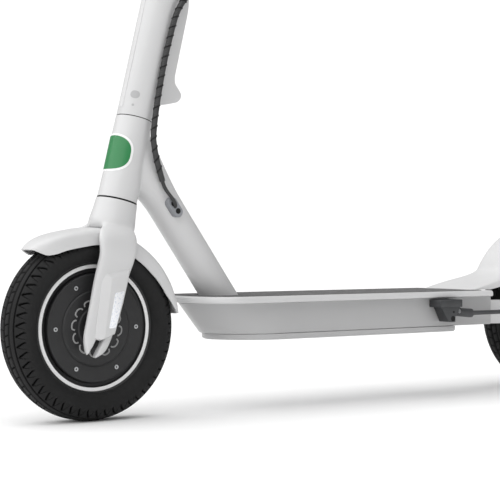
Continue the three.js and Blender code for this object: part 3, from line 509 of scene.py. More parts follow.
def grid(points, around=True, along=False, caps=False):
    """Vertices and faces of a net of points, closed around its columns or along its rows."""
    rows, columns = points.shape[:2]
    faces = []
    for i in range(rows if along else rows - 1):
        j = (i + 1) % rows
        for k in range(columns if around else columns - 1):
            m = (k + 1) % columns
            faces.append((i * columns + k, i * columns + m, j * columns + m, j * columns + k))
    if caps:
        faces.append(tuple(range(columns)))
        faces.append(tuple(range((rows - 1) * columns, rows * columns)))
    return points.reshape(-1, 3), faces


def rod(radius, low, high, sides, upright=False):
    """A plain cylinder about Y or Z."""
    return lathe([(0, low), (radius, low), (radius, high), (0, high)], sides, upright)


def lathe(profile, sides=96, upright=False):
    """A shape turned about Y or Z from [radius, height] points, with a bore unless an end is at 0."""
    cored = min(profile[0][0], profile[-1][0]) > 0
    ring = np.array([point for point in profile if point[0] > 0], float)
    turn = np.linspace(0, 2 * math.pi, sides, endpoint=False)
    across = ring[:, 0, None] * np.cos(turn)
    around = ring[:, 0, None] * np.sin(turn)
    height = np.repeat(ring[:, 1, None], sides, 1)
    order = (across, around, height) if upright else (across, height, around)
    return grid(np.stack(order, 2), along=cored, caps=not cored)


def oval_rings(stations, sides=48, square=2.0):
    """A skin over stations: each a centre, two directions and two half-sizes."""
    turn = np.linspace(0, 2 * math.pi, sides, endpoint=False)
    swell = lambda value: np.sign(value) * np.abs(value) ** (2 / square)
    points = []
    for at, u, v, a, b in stations:
        ring = np.outer(swell(np.cos(turn)) * a, u) + np.outer(swell(np.sin(turn)) * b, v)
        points.append(np.array(at) + ring)
    return grid(np.array(points), caps=True)


def pillow(outline, levels):
    """A plate on a convex outline, from levels of height and how far the edge is drawn in."""
    outline = np.array(outline, float)
    before = unit(outline - np.roll(outline, 1, 0))
    after = unit(np.roll(outline, -1, 0) - outline)
    turn = 1 if np.sum(outline[:, 0] * np.roll(outline[:, 1], -1) - np.roll(outline[:, 0], -1)
                       * outline[:, 1]) > 0 else -1
    normal = turn * np.stack([before[:, 1] + after[:, 1], -before[:, 0] - after[:, 0]], 1)
    normal /= np.maximum(np.sum(normal ** 2, 1, keepdims=True) / 2, 0.35)
    rings = [np.column_stack([outline - normal * inset, np.full(len(outline), height)])
             for height, inset in levels]
    return grid(np.array(rings), caps=True)


def round_levels(low, high, radius, steps=4):
    """Levels for a plate whose two rims are rounded."""
    turns = [math.pi / 2 * k / steps for k in range(steps + 1)]
    lower = [(low + radius * (1 - math.sin(t)), radius * (1 - math.cos(t))) for t in reversed(turns)]
    upper = [(high - radius * (1 - math.sin(t)), radius * (1 - math.cos(t))) for t in turns]
    return lower + upper


def boat(nose, nose_length, fullness, half_width, tail, steps=24):
    """A plan outline with straight sides, a square tail and a rounded nose."""
    points = []
    for i in range(-steps, steps + 1):
        turn = i / steps * math.pi / 2
        along = math.cos(turn) ** (2 / fullness) if i not in (-steps, steps) else 0
        across = math.copysign(abs(math.sin(turn)) ** (2 / fullness), turn)
        points.append((nose - nose_length + nose_length * along, half_width * across))
    return points + [(tail, half_width), (tail, -half_width)]


def rounded_rectangle(half_x, half_y, corner, steps=8):
    square = [(half_x, -half_y), (half_x, half_y), (-half_x, half_y), (-half_x, -half_y)]
    return soften(square, corner * 1.25, steps)


def tube(path, radius, sides=16):
    """A round cord on a path of points; radius may be one number or one for each point."""
    path = np.array(path, float)
    radii = np.broadcast_to(radius, len(path))
    tangent = unit(np.gradient(path, axis=0))
    side = np.cross(tangent[0], (0.0, 0.0, 1.0))
    if np.linalg.norm(side) < 0.1:
        side = np.cross(tangent[0], (0.0, 1.0, 0.0))
    stations = []
    for at, way, reach in zip(path, tangent, radii):
        side = side - way * side.dot(way)
        side /= np.linalg.norm(side)
        stations.append((at, side, np.cross(way, side), reach, reach))
    return oval_rings(stations, sides)


def combined(*shapes):
    """Several shapes as one set of vertices and faces."""
    points = []
    faces = []
    for verts, polygons in shapes:
        start = len(points)
        points.extend(tuple(vert) for vert in verts)
        faces.extend(tuple(start + index for index in polygon) for polygon in polygons)
    return points, faces


def moved(shape, matrix):
    verts, faces = shape
    return [tuple(matrix @ Vector(vert)) for vert in verts], faces


def block(low, high):
    corners = [(x, y, z) for x in (low[0], high[0]) for y in (low[1], high[1]) for z in (low[2], high[2])]
    faces = [(0, 1, 3, 2), (4, 6, 7, 5), (0, 4, 5, 1), (2, 3, 7, 6), (0, 2, 6, 4), (1, 5, 7, 3)]
    return corners, faces


def new_object(name, shape, place):
    mesh = bpy.data.meshes.new(name)
    mesh.from_pydata([tuple(vert) for vert in shape[0]], [], shape[1])
    mesh.transform(place)
    loose = bmesh.new()
    loose.from_mesh(mesh)
    bmesh.ops.recalc_face_normals(loose, faces=loose.faces)
    loose.to_mesh(mesh)
    loose.free()
    made = bpy.data.objects.new(name, mesh)
    bpy.context.scene.collection.objects.link(made)
    return made


def bake(item):
    """Applies an object's modifiers to its own mesh."""
    bpy.context.view_layer.update()
    shaped = item.evaluated_get(bpy.context.evaluated_depsgraph_get())
    mesh = bpy.data.meshes.new_from_object(shaped)
    item.modifiers.clear()
    item.data = mesh


def carve(item, shape, place):
    """Cuts a shape out of an object."""
    tool = new_object(item.name + "_tool", shape, place)
    cutter = item.modifiers.new("cut", "BOOLEAN")
    cutter.object = tool
    cutter.solver = "EXACT"
    bake(item)
    bpy.data.objects.remove(tool)


def absorb(item, other):
    """Adds another object's mesh to an object's own and removes the other."""
    loose = bmesh.new()
    loose.from_mesh(item.data)
    loose.from_mesh(other.data)
    loose.to_mesh(item.data)
    loose.free()
    bpy.data.objects.remove(other)


def flow(item, voxel, rounds):
    """Melts overlapping solids into one skin with rounded inner corners."""
    remesh = item.modifiers.new("remesh", "REMESH")
    remesh.mode = "VOXEL"
    remesh.voxel_size = voxel * MM
    ease = item.modifiers.new("ease", "SMOOTH")
    ease.factor = 0.5
    ease.iterations = rounds
    bake(item)


def melt(item, low, high, rounds):
    """Eases an item's skin further above a level, fully from the high level up."""
    group = item.vertex_groups.new(name="upper")
    for vertex in item.data.vertices:
        level = (item.matrix_world @ vertex.co).z / MM
        group.add([vertex.index], float(smoothstep(level, low, high)), "REPLACE")
    ease = item.modifiers.new("ease", "SMOOTH")
    ease.factor = 0.5
    ease.iterations = rounds
    ease.vertex_group = "upper"
    bake(item)


def trim(item, point, away, place):
    """Cuts off what lies on a plane's far side and closes the cut."""
    loose = bmesh.new()
    loose.from_mesh(item.data)
    spot = place @ Vector(point)
    normal = (place.to_3x3() @ Vector(away)).normalized()
    bmesh.ops.bisect_plane(loose, geom=loose.verts[:] + loose.edges[:] + loose.faces[:], plane_co=spot,
                           plane_no=normal, clear_outer=True)
    rim = [edge for edge in loose.edges if edge.is_boundary]
    bmesh.ops.holes_fill(loose, edges=rim, sides=0)
    loose.to_mesh(item.data)
    loose.free()


def round_edges(item, width, segments=2, angle=35):
    edge = item.modifiers.new("edge", "BEVEL")
    edge.width = width * MM
    edge.segments = segments
    edge.limit_method = "ANGLE"
    edge.angle_limit = math.radians(angle)
    edge.harden_normals = False


def settle(item, stands_for=(), body=None, finish=None, crease=35):
    """Gives a piece its finish, shading and body, and hides the CAD nodes that it stands for."""
    source = stands_for[0] if stands_for else None
    slot = SLOT[source] if source else None
    item.data.materials.clear()
    item.data.materials.append(FINISHES[finish or slot])
    item.data.set_sharp_from_angle(angle=math.radians(crease))
    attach(item, body or BODY[source])
    if stands_for:
        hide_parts(*stands_for)
    return item


def add(name, shape, place, stands_for=(), body=None, finish=None, crease=35, edge=0.0):
    item = new_object(name, shape, place)
    if edge:
        round_edges(item, edge)
        bake(item)
    return settle(item, stands_for, body, finish, crease)


# ---- Tyres ----

def groove(distance, half_width, depth):
    """How deep a cut is at a distance from its middle."""
    return depth * (1 - smoothstep(np.abs(distance), half_width * 0.55, half_width * 1.45))


def tread_depth(side, phase, drop):
    """How deep the rubber is cut: side is the distance from the middle, phase runs 0-1 in a block."""
    away = np.abs(side)
    turned = np.where(side > 0, phase, (phase + 0.5) % 1)
    span = 2 * math.pi * WHEEL_RADIUS / PITCHES
    depth = sum(groove(away - place, half, deep) for place, half, deep in GROOVES)
    sipe = (turned - 0.5 - 0.02 * (away - 5)) * span
    inner = smoothstep(away, 1, 2) * (1 - smoothstep(away, 10.2, 11))
    depth = np.maximum(depth, groove(sipe, 0.9, 2.2) * inner)
    reach = np.clip((away - 21) / 8, 0, 1)
    outer = smoothstep(away, 20.8, 21.6) * (1 - smoothstep(drop, 14, 16))
    for lean, half, deep in ((0.42, 1.3, 3.6), (-0.22, 0.7, 1.2)):
        slant = (turned - 0.4 - lean * reach) * span
        depth = np.maximum(depth, groove(slant, half - 0.4 * reach, deep) * outer)
    return depth


def tyre(name, node, place):
    half = spline(TYRE_SECTION, 12)
    reach = distances(half)
    shoulder = np.interp(112, half[:, 0], reach)
    places = np.concatenate([np.linspace(0, shoulder, 9, endpoint=False),
                             np.linspace(shoulder, reach[-1], TREAD_ROWS // 2)])
    left = np.column_stack([np.interp(places, reach, half[:, 0]), np.interp(places, reach, half[:, 1])])
    section = both_sides(left)
    slope = unit(np.gradient(section, axis=0))
    inward = np.column_stack([slope[:, 1], -slope[:, 0]])
    inward *= np.sign(-inward[len(inward) // 2, 0])
    count = PITCHES * COLUMNS
    phase = (np.arange(count) / COLUMNS) % 1
    side = np.repeat(section[:, 1, None], count, 1)
    drop = WHEEL_RADIUS - np.repeat(section[:, 0, None], count, 1)
    depth = tread_depth(side, np.repeat(phase[None], len(section), 0), drop)
    shadow = np.concatenate([depth.ravel(), np.zeros(4 * count)])
    radius = section[:, 0, None] + inward[:, 0, None] * depth
    across = section[:, 1, None] + inward[:, 1, None] * depth
    well = np.array([(88.7, -15.6), (84.5, -12.6), (84.5, 12.6), (88.7, 15.6)])
    radius = np.vstack([radius, np.repeat(well[:, 0, None], count, 1)])
    across = np.vstack([across, np.repeat(well[:, 1, None], count, 1)])
    turn = np.linspace(0, 2 * math.pi, count, endpoint=False)
    net = np.stack([radius * np.cos(turn), across, radius * np.sin(turn)], 2)
    item = add(name, grid(net, along=True), place, [node], crease=50)
    # The cut depths go on the tyre as an attribute, from which its rubber paints shade into the grooves.
    mark = item.data.attributes.new("cut_depth", "FLOAT", "POINT")
    mark.data.foreach_set("value", (shadow / 2.0).astype(np.float32))


# ---- Wheels ----

def mirror(shape):
    """The shape on the wheel's other side."""
    return moved(shape, Matrix.Diagonal((1, -1, 1, 1)))


def rim_shape(face):
    profile = RIM_SEAT + face + [(radius, -y) for radius, y in reversed(face)]
    return lathe(soften(profile, 0.7, 2), 160)


def about_axle(shape, angle, radius, height):
    """Places a small shape, drawn facing +Y, on a hub's face."""
    turn = Matrix.Rotation(-angle, 4, "Y")
    return moved(shape, turn @ Matrix.Translation((radius, height, 0)))


def face_marks():
    """The ring of short raised hooks, open towards the middle."""
    stroke = [(-3.6, -6.4), (0.2, -5.4), (1.5, -1.5), (0.9, 3), (-2.6, 6.4), (-4.4, 6.2)]
    path = spline([(x, 0, z) for x, z in stroke], 4)
    hook = tube(path, 1.15, 8)
    step = 360 / MARK_COUNT
    marks = [about_axle(hook, math.radians(step * i + 8), MARK_CIRCLE, 23.4) for i in range(MARK_COUNT)]
    return combined(*marks)


def screw_heads():
    head = lathe(soften([(1.3, -1), (3.1, -1), (3.1, 1.1), (1.3, 1.1)], 0.5, 2), 20)
    return combined(*[about_axle(head, math.radians(60 * i), SCREW_CIRCLE, 21.9) for i in range(6)])


def make_front_wheel():
    tyre("tyre_front", "front_tyre", FRONT_WHEEL)
    add("motor_shell", rim_shape(HUB_FACE), FRONT_WHEEL, ["front_hub"])
    trim_ring = lathe(soften([(80.9, 17.2), (85.9, 17.2), (85.9, 18.3), (80.9, 18.3)], 0.5, 3), 160)
    profile = [(16.4, 10), (74.3, 10), (74.3, 20.6), (72.6, 22.1), (53, 22.1), (51.6, 21.2),
               (50, 23.2), (29, 23.2), (27.4, 24.6), (16.4, 24.6)]
    cover = lathe(soften(profile, 1.4, 4), 160)
    body = BODY["front_hub"]
    for side, turn in (("left", lambda shape: shape), ("right", mirror)):
        add("trim_ring_" + side, turn(trim_ring), FRONT_WHEEL, body=body, finish="white_print")
        add("motor_cover_" + side, turn(cover), FRONT_WHEEL, ["hub_cover_" + side], crease=28)
        add("cover_marks_" + side, turn(face_marks()), FRONT_WHEEL, body=body, finish="mark_grey")
        add("cover_screws_" + side, turn(screw_heads()), FRONT_WHEEL, body=body, finish="bare_aluminium")


def make_rear_wheel():
    tyre("tyre_rear", "rear_tyre", REAR_WHEEL)
    left = [(86, 18.2), (76, 17.2), (73, 8), (31, 8), (28, 21), (16.3, 21)]
    right = [(16.3, -1), (42, -1), (42, -17), (48, -17), (50, -4), (73, -4), (76, -17.2), (86, -18.2)]
    add("drum_hub", lathe(soften(RIM_SEAT + left + right, 1, 3), 160), REAR_WHEEL, ["rear_hub"])


# ---- Fork and its covers ----

def fork_shape():
    other = [(x, -y, z, a, b) for x, y, z, a, b in reversed(LEG)]
    rows = spline(LEG + [LEG_TOP] + other, 4)
    centres = rows[:, :3]
    along = unit(np.gradient(centres, axis=0) * (0, 1, 1))
    stations = [(row[:3], AHEAD, np.cross(way, AHEAD), row[3], row[4]) for row, way in zip(rows, along)]
    return oval_rings(stations, 48, 3.2)


def make_fork():
    item = new_object("fork_casting", fork_shape(), SCOOTER)
    slot_turn = Matrix.Rotation(math.radians(-29), 4, "Y")
    slot = block((-5.3, -80, -60), (5.3, 80, 0))
    seat = rod(5.3, -80, 80, 32)
    carve(item, slot, FRONT_WHEEL @ slot_turn)
    carve(item, seat, FRONT_WHEEL)
    neck_profile = [(0, 131), (18, 131.5), (27, 134), (32, 139), (32.8, 145), (31.4, 153), (30, 164),
                    (28.7, CROWN_TOP + 4), (0, CROWN_TOP + 4)]
    neck = new_object("fork_neck", lathe(neck_profile, 64, upright=True), STEERING)
    absorb(item, neck)
    flow(item, 1.4, 10)
    melt(item, 212, 240, 40)
    trim(item, (0, 0, CROWN_TOP - 0.5), (0, 0, 1), STEERING)
    settle(item, ["fork"])


def cover_shape(side):
    share, rise = np.meshgrid(np.linspace(0, 1, 61), np.linspace(0, 1, 81))
    foot = curve(COVER_FOOT, share)
    head = 207 + 4 * share
    z = foot + (head - foot) * rise
    front = curve(COVER_FRONT, z)
    rear = curve(COVER_REAR, z)
    x = front + (rear - front) * share
    rounded = lambda gap: 1 - (1 - np.clip(gap, 0, 1)) ** 2.5
    ramp = np.clip((front - x) / CHAMFER, 0, 1)
    ledge = np.clip((head - z) / (16 - 8 * share), 0, 1)
    height = np.minimum(np.minimum(0.16 + 0.84 * ramp, rounded((x - rear) / 5)),
                        np.minimum(0.1 + 0.9 * ledge, rounded((z - foot) / 3)))
    y = COVER_BASE + (COVER_FACE - COVER_BASE) * height
    face = np.stack([x, side * y, z], 2)
    back = np.stack([x, np.full_like(x, side * (COVER_BASE - 2)), z], 2)
    rows, columns = x.shape
    points, faces = grid(face, around=False)
    behind = len(points)
    faces += [tuple(behind + index for index in reversed(polygon)) for polygon in faces]
    rim = [(0, k) for k in range(columns)] + [(i, columns - 1) for i in range(1, rows)]
    rim += [(rows - 1, k) for k in range(columns - 2, -1, -1)] + [(i, 0) for i in range(rows - 2, 0, -1)]
    loop = [i * columns + k for i, k in rim]
    for here, there in zip(loop, loop[1:] + loop[:1]):
        faces.append((here, there, behind + there, behind + here))
    return np.vstack([points, back.reshape(-1, 3)]), faces


def make_fork_covers():
    for side, sign in (("left", 1), ("right", -1)):
        add("leg_cover_" + side, cover_shape(sign), SCOOTER, ["fork_cover_" + side], crease=24)
        outline = soften(REFLECTOR, 2, 3)
        strip = pillow(outline, round_levels(-0.4, 0.45, 0.2, 2))
        upright = Matrix(((1, 0, 0, 0), (0, 0, sign, sign * COVER_FACE), (0, 1, 0, 0), (0, 0, 0, 1)))
        add("leg_reflector_" + side, moved(strip, upright), SCOOTER, body=BODY["fork"], finish="reflector")


# ---- Fenders ----

def fender_net(section, starts, ends, radius_rule, width_rule, steps):
    """A skin from section points [radius, side] swept from start to end angles, in degrees."""
    net = []
    for (radius, side), start, end in zip(section, starts, ends):
        turn = np.linspace(start, end, steps)
        reach = radius + radius_rule(turn)
        across = side * width_rule(turn) * np.ones(steps)
        angle = np.radians(turn)
        net.append(np.stack([reach * np.cos(angle), across, reach * np.sin(angle)], 1))
    return grid(np.array(net), around=False)


def shell(name, shape, place, wall, node):
    item = new_object(name, shape, place)
    thick = item.modifiers.new("wall", "SOLIDIFY")
    thick.thickness = wall * MM
    thick.offset = -1
    outer = max(item.data.polygons, key=lambda face: face.center.z)
    if outer.normal.z < 0:
        item.data.flip_normals()
    round_edges(item, 0.7, 3, 60)
    bake(item)
    settle(item, [node], crease=50)


def front_rise(turn):
    """How far the front fender stands out from its section: higher under the crown, a beak in front."""
    return 4.3 * (1 - smoothstep(turn, 84, 126)) + 7.8 * smoothstep(80 - turn, 0, 30)


def front_spread(turn):
    """The front fender's width, as a share of its full width: it narrows towards its nose."""
    return 1 - 0.5 * np.clip((76 - turn) / 28, 0, 1) ** 3.5


def nose_angle(radius):
    """Where a line of the front fender's section begins, above its curved lower edge."""
    turns = np.arange(46, 106, 0.05)
    above = radius + front_rise(turns) >= curve(LIP, turns)
    return float(turns[np.argmax(above)])


def tail_angle(radius):
    """Where a line of the front fender's section ends: its sides sweep up to a narrow tail."""
    return float(curve(TAIL, radius))


def make_front_fender():
    half = spline(FENDER_SECTION, 5)
    section = both_sides(half)
    starts = [nose_angle(radius) for radius, side in section]
    ends = [tail_angle(radius) for radius, side in section]
    net = fender_net(section, starts, ends, front_rise, front_spread, 160)
    shell("fender_front", net, FRONT_WHEEL, 2.2, "front_fender")


def make_rear_fender():
    """The front fender's section scaled up, with a tongue that runs down on to the deck."""
    scale = REAR_CROWN / FENDER_SECTION[-1][0]
    rows = [(radius * scale, side * REAR_HALF_WIDTH / FENDER_SECTION[0][1])
            for radius, side in FENDER_SECTION[2:]]
    half = spline([(116, REAR_HALF_WIDTH)] + rows, 5)
    section = both_sides(half)
    rise = lambda turn: 0.2 * np.maximum(0, TONGUE_TURN - np.abs(turn)) ** 2
    spread = lambda turn: 1 + 0.5 * smoothstep(TONGUE_TURN - np.abs(turn), 0, 19)
    top = box_mm("deck_plate", REAR_WHEEL)[1].z + 0.3
    starts = []
    for radius, side in section:
        turns = np.arange(10, 40, 0.1)
        low = (radius + rise(turns)) * np.sin(np.radians(turns))
        starts.append(float(turns[np.argmax(low >= top)]))
    net = fender_net(section, starts, [168] * len(section), rise, spread, 120)
    shell("fender_rear", net, REAR_WHEEL, 2.6, "rear_fender")


# ---- Frame neck, head and stem ----

def make_neck():
    front = np.array((TUBE_WAY[2], 0, -TUBE_WAY[0]))
    down = np.array((math.sin(RAKE), 0, -math.cos(RAKE)))
    stations = []
    for distance, swing, a, b in spline(NECK, 6):
        u = front + (down - front) * min(max(swing, 0), 1)
        stations.append((TUBE_FOOT + TUBE_WAY * distance, u / np.linalg.norm(u), (0, 1, 0), a, b))
    item = new_object("neck_casting", oval_rings(stations, 64), SCOOTER)
    low = HEAD_BOTTOM - 4
    high = HEAD_TOP + 6
    profile = [(0, low), (27.9, low), (26.8, 236), (25.8, high), (0, high)]
    head = new_object("head", lathe(profile, 96, upright=True), STEERING)
    absorb(item, head)
    flow(item, 1.5, 14)
    trim(item, (0, 0, HEAD_TOP), (0, 0, 1), STEERING)
    carve(item, rod(31, HEAD_BOTTOM - 30, HEAD_BOTTOM, 64, upright=True), STEERING)
    trim(item, (0, 0, box_mm("deck_mat")[0].z), (0, 0, -1), SCOOTER)
    settle(item, ["frame_neck"])


def wrapped_plate(half_angle, half_height, centre_angle, centre_height, radius, lift, square=4.0, cells=14):
    """A plate that follows a cylinder, with a superellipse edge."""
    around = 64
    points = [[], []]
    for layer, reach in enumerate((radius - 0.6, radius + lift)):
        for ring in range(cells, 0, -1):
            for k in range(around):
                t = 2 * math.pi * k / around
                u = math.copysign(abs(math.cos(t)) ** (2 / square), math.cos(t)) * ring / cells
                v = math.copysign(abs(math.sin(t)) ** (2 / square), math.sin(t)) * ring / cells
                turn = math.radians(centre_angle + u * half_angle)
                points[layer].append((reach * math.cos(turn), reach * math.sin(turn),
                                      centre_height + v * half_height))
    rows = [np.array(layer).reshape(cells, around, 3) for layer in points]
    net = np.concatenate([rows[1][::-1], rows[0]])
    return grid(net, caps=True)


def badge():
    """A plain oval badge on the head's front."""
    middle = 240.5
    radius = 26.9
    add("badge_rim", wrapped_plate(78, 27, 0, middle, radius, 0.35, 2.6), STEERING, body="frame",
        finish="white_print")
    add("badge_field", wrapped_plate(71, 24, 0, middle, radius + 0.3, 0.3, 2.6), STEERING, body="frame",
        finish="green_print")


def make_stem():
    wall = [(16, STEM_BOTTOM), (STEM_RADIUS, STEM_BOTTOM), (STEM_RADIUS, STEM_TOP), (23, STEM_TOP),
            (23, 345), (16, 335)]
    add("stem", lathe(soften(wall, 0.6, 2), 128, upright=True), STEERING, ["stem_tube"])
    strip = wrapped_plate(11, 290, 0, 306 + 290, STEM_RADIUS, 0.5, 30)
    add("stem_strip", strip, STEERING, body=BODY["stem_tube"], finish="cover_plastic")
    plug = wrapped_plate(15, 5.4, 46, 325, STEM_RADIUS, 0.3, 2.2)
    add("stem_plug", plug, STEERING, body=BODY["stem_tube"], finish="plug_grey")
    dot = wrapped_plate(4, 1.6, 46, 310, STEM_RADIUS, 0.3, 2, 4)
    add("stem_dot", dot, STEERING, body=BODY["stem_tube"], finish="plug_grey")
    # Near-black rings in the gaps at the head's two ends: painted shade in the joints.
    for name, low, high, reach in (("lower_gap_shade", CROWN_TOP - 0.1, HEAD_BOTTOM + 0.5, 28),
                                   ("upper_gap_shade", HEAD_TOP - 0.1, STEM_BOTTOM + 0.1, 25.2)):
        ring = lathe([(17, low), (reach, low), (reach, high), (17, high)], 96, upright=True)
        add(name, ring, STEERING, body="frame", finish="seam_black")


def make_bag_hook():
    outline = soften(FAIRING, 9, 6)
    blade = new_object("harness_fairing", moved(pillow(outline, [(-9, 0), (9, 0)]), STAND_UP), STEERING)
    carve(blade, rod(STEM_RADIUS + 0.2, 300, 540, 96, upright=True), STEERING)
    round_edges(blade, 3.4, 4)
    bake(blade)
    settle(blade, ["bag_hook"], crease=50)


# ---- Cable harness and gland ----

def seam_shade_lines(path, radius, pitch, width):
    """Short diagonal lines that lie on a cord, one each pitch: painted shade at the seams between the wrap's
    turns.
    """
    reach = distances(path)
    seams = []
    for start in np.arange(6, reach[-1] - pitch, pitch):
        places = np.linspace(start, start + 9, 14)
        line = np.column_stack([np.interp(places, reach, path[:, k]) for k in range(3)])
        way = unit(np.gradient(line, axis=0))
        side = unit(np.cross(way, (0, 1, 0)))
        out = np.cross(side, way)
        out *= np.sign(out[:, 1:2])
        turn = np.linspace(-1.9, 1.9, 14)[:, None]
        seams.append(tube(line + radius * (np.sin(turn) * side + np.cos(turn) * out), width, 6))
    return combined(*seams)


def make_harness():
    path = spline(HARNESS, 8)
    wrap_end = WRAP_END * 8 + 4
    wrap = path[:wrap_end]
    cable = path[wrap_end - 4:]
    shape = combined(tube(wrap, WRAP_RADIUS, 20), tube(cable, CABLE_RADIUS, 16))
    cord = new_object("harness", shape, SCOOTER)
    # Near-black lines on the wrap: painted shade at its seams.
    seams = new_object("harness_seam_shade", seam_shade_lines(wrap, WRAP_RADIUS, 14.5, 1.0), SCOOTER)
    for item, finish in ((cord, "harness_grey"), (seams, "seam_black")):
        item.data.materials.append(FINISHES[finish])
        item.data.set_sharp_from_angle(angle=math.radians(40))
        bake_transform(item)
    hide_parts("cable_harness")


def make_gland():
    lean = math.atan2(TUBE_WAY[0], TUBE_WAY[2])
    outline = [(7.5 * math.cos(t), 7.5 * math.sin(t) + (8 if t <= math.pi else -8))
               for t in np.linspace(0, 2 * math.pi, 48, endpoint=False)]
    place = Matrix.Translation(GLAND_PLACE) @ Matrix.Rotation(lean, 4, "Y")
    face = moved(pillow(outline, round_levels(0, 13.4, 1.4, 4)), place @ STAND_UP)
    add("gland_body", face, SCOOTER, ["cable_gland"])
    # Painted shade: near-black discs on the gland's face stand for its two holes.
    dark = rod(4, 13, 13.6, 32)
    holes = [moved(dark, place @ Matrix.Translation((0, 0, z))) for z in (-6.4, 6.4)]
    add("gland_hole_shade", combined(*holes), SCOOTER, body="frame", finish="seam_black")


# ---- Deck ----

def deck_edges():
    low, high = box_mm("deck_plate")
    return low.x, low.z, high.y, high.z


def make_deck_plate():
    tail, bottom, half_width, top = deck_edges()
    outline = boat(DECK_NOSE, DECK_NOSE_LENGTH, DECK_FULLNESS, half_width, tail)
    floor = box_mm("deck_mat")[0].z - 0.3
    levels = [(bottom, 1.8), (bottom + 0.5, 0.7), (bottom + 1.5, 0.1), (bottom + 3, 0), (top - 2.6, 0.2),
              (top - 1.2, 0.9), (top - 0.35, 1.9), (top, 3.2), (top, 4), (top - 0.4, 4.5), (floor, 4.6)]
    add("deck_rail", pillow(outline, levels), SCOOTER, ["deck_plate"])


def inside_boat(x, nose, nose_length, fullness, half_width):
    """Half-width of a boat outline at a place along it."""
    share = min(max((x - nose + nose_length) / nose_length, 0), 1)
    return half_width * (1 - share ** fullness) ** (1 / fullness)


def make_deck_mat():
    tail, _, half_width, top = deck_edges()
    low, high = box_mm("deck_mat")
    nose = DECK_NOSE - MAT_INSET
    width = half_width - MAT_INSET
    base_top = high.z - 0.9
    outline = boat(nose, MAT_NOSE_LENGTH, DECK_FULLNESS, width, low.x)
    base = pillow(outline, [(low.z, 0.6), (low.z + 0.3, 0), (base_top - 0.3, 0), (base_top, 0.6)])
    ribs = []
    pitch = 4.4
    for x in np.arange(low.x + 4, nose - 6, pitch):
        half = inside_boat(x + 1, nose, MAT_NOSE_LENGTH, DECK_FULLNESS, width) - 1.2
        gap = 28.5 * math.sqrt(max(0, 1 - ((x - FOOT_CENTRE) / 35) ** 2))
        spans = [(-half, -gap), (gap, half)] if gap else [(-half, half)]
        for start, end in spans:
            if end - start > 4:
                ribs.append(block((x, start, base_top - 0.4), (x + 2.2, end, high.z)))
    add("mat_sheet", combined(base, *ribs), SCOOTER, ["deck_mat"])


def lean_bow(shape, level):
    verts = np.array(shape[0], float)
    verts[:, 0] += smoothstep(verts[:, 0], -285, -215) * BOW_SLOPE * (verts[:, 2] - level)
    return verts, shape[1]


def make_box():
    low, high = box_mm("battery_box")
    cover_low, cover_high = box_mm("bottom_cover")
    half_width = high.y
    outline = boat(BOX_NOSE, BOX_NOSE_LENGTH, BOX_FULLNESS, half_width, low.x, 40)
    middle = [(z, 0) for z in np.linspace(low.z + 8, high.z - 8, 6)]
    levels = [(low.z, 0.8), (low.z + 0.8, 0)] + middle + [(high.z - 0.8, 0), (high.z, 0.8)]
    # The box and its lid take the darker copy of the frame's paint: painted shade.
    add("box_shell", lean_bow(pillow(outline, levels), low.z), SCOOTER, ["battery_box"], finish="box_paint")
    lip = boat(COVER_NOSE, BOX_NOSE_LENGTH, BOX_FULLNESS, half_width + 1, cover_low.x, 40)
    levels = [(cover_low.z, 2.6), (cover_low.z + 0.8, 1.2), (cover_low.z + 2.2, 0.2),
              (cover_high.z - 0.5, 0), (cover_high.z, 0.5)]
    add("box_lid", pillow(lip, levels), SCOOTER, ["bottom_cover"], finish="box_paint")


# ---- Kickstand bracket ----

def make_kickstand_bracket():
    low, high = box_mm("kickstand_bracket")
    front = high.x - 2
    back = front - 45
    bottom = STAND_BOTTOM
    side = STAND_SIDE
    plate = pillow([(front, low.y), (front, side), (back, side), (back, low.y)],
                   round_levels(bottom, high.z, 0.8, 2))
    block_face = [(front - 8, bottom + 1), (front - 30, bottom + 1), (front - 30, 120), (front - 21, 119.6)]
    cheek_face = [(front - 1, bottom + 1), (back + 5, bottom + 1), (back + 8, 133), (back + 14, 128.5),
                  (back + 14.4, 119.5), (front - 18, 119.5)]
    block_piece = moved(pillow(block_face, [(low.y, 0), (side - 2, 0)]), STAND_UP)
    cheek_piece = moved(pillow(cheek_face, [(side - 2.2, 0), (side - 0.6, 0)]), STAND_UP)
    item = new_object("stand_bracket", combined(plate, block_piece, cheek_piece), SCOOTER)
    round_edges(item, 0.5, 2)
    bake(item)
    settle(item, ["kickstand_bracket"])
    pivot = SCOOTER.inverted() @ Vector(JOINTS["kickstand_fold"]["pos_m"])
    lean = math.radians(STAND_LEAN)
    pin = lathe(soften([(0, -13.5), (4, -13.5), (4, 7.4), (0, 7.4)], 0.6, 2), 24)
    place = Matrix.Translation(pivot) @ Matrix.Rotation(lean, 4, "X")
    add("stand_pin", moved(pin, place), SCOOTER, body="frame", finish="steel")
    # Painted shade: near-black discs for a screw's socket and a hole in the cheek.
    screw = rod(1.9, side - 1, side - 0.4, 20)
    hole = rod(4.2, side - 1, side - 0.4, 28)
    marks = combined(moved(screw, Matrix.Translation((front - 27, 0, 135))),
                     moved(hole, Matrix.Translation((front - 25.5, 0, 124.8))))
    add("stand_hole_shade", marks, SCOOTER, body="frame", finish="seam_black")


# ---- Handlebar ----

def bar_path():
    half = [(0, 0), (0, 38), (0, 76), (-1.4, 102)]
    for k in range(4):
        share = k / 3
        x = BAR_BEND + share * (BAR_SWEEP - BAR_BEND)
        half.append((x, BAR_OUT + share * (BAR_HALF_LENGTH - BAR_OUT)))
    left = [(x, y, 0) for x, y in half]
    return [(x, -y, 0) for x, y in half[:0:-1]] + left


def make_handlebar():
    path = spline(bar_path(), 8)
    add("bar", tube(path, BAR_RADIUS, 48), HANDLEBAR, ["handlebar"])


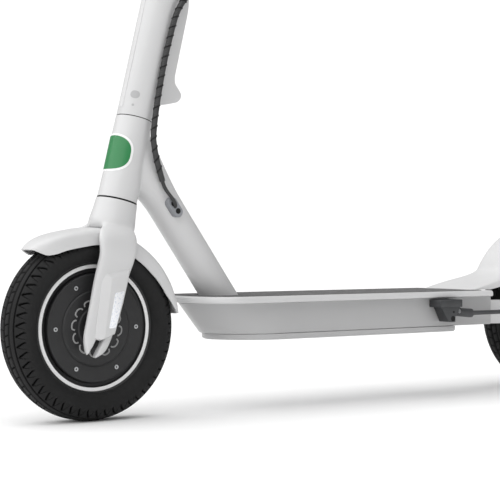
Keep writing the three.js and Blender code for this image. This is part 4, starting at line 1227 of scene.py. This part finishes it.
def grip_shape():
    half = 60
    profile = [(14.7, -half), (18.4, -half), (18.4, -half + 4), (16.4, -half + 6)]
    for k in range(20):
        y = -half + 8 + k * 5
        profile += [(16.5, y), (16.5, y + 2.6), (15.9, y + 3.1), (15.9, y + 4.4)]
    profile += [(16.4, half - 3), (15.8, half), (14.7, half)]
    return lathe(profile, 64)


def make_grips():
    turn = math.atan2(-(BAR_SWEEP - BAR_BEND), BAR_HALF_LENGTH - BAR_OUT)
    middle = (BAR_BEND + BAR_SWEEP) / 2
    for side, sign in (("left", 1), ("right", -1)):
        shape = moved(grip_shape(), Matrix.Diagonal((1, sign, 1, 1)))
        place = Matrix.Translation((middle, sign * 190, 0)) @ Matrix.Rotation(sign * turn, 4, "Z")
        add("rubber_grip_" + side, shape, HANDLEBAR @ place, ["grip_" + side])


def make_bell():
    dome = [(0, 18), (17, 18), (17.2, 21), (16.4, 25), (14.2, 28.8), (10.4, 31.6), (5.6, 33.2), (0.2, 33.6),
            (0, 33.6)]
    shape = moved(lathe(dome, 64, upright=True), Matrix.Translation((0, 72, 0)))
    plate = pillow(rounded_rectangle(9, 24, 8), round_levels(17, 19.4, 0.6, 2))
    band = lathe(soften([(14.7, -7), (18.2, -7), (18.2, 7), (14.7, 7)], 0.8, 2), 48)
    add("bell_cup", combined(shape, moved(plate, Matrix.Translation((0, 77.6, 0))),
                             moved(band, Matrix.Translation((0, 68, 0)))), HANDLEBAR, ["bell_dome"])


# ---- CAD nodes that are shown as they are, with their edges rounded ----

def dress_cad_nodes():
    for name, node in frame["nodes"].items():
        if node.hide_render:
            continue
        node.data.materials.clear()
        node.data.materials.append(FINISHES[SLOT[name]])
        node.data.set_sharp_from_angle(angle=math.radians(32))
        if name in EDGES:
            weld = node.modifiers.new("weld", "WELD")
            weld.merge_threshold = 0.00001
            round_edges(node, EDGES[name], 2)


FINISHES = make_finishes()
make_camera()
make_studio()
make_floor()
make_front_wheel()
make_rear_wheel()
make_fork()
make_fork_covers()
make_front_fender()
make_rear_fender()
make_neck()
badge()
make_stem()
make_bag_hook()
make_harness()
make_gland()
make_deck_plate()
make_deck_mat()
make_box()
make_kickstand_bracket()
make_handlebar()
make_grips()
make_bell()
dress_cad_nodes()
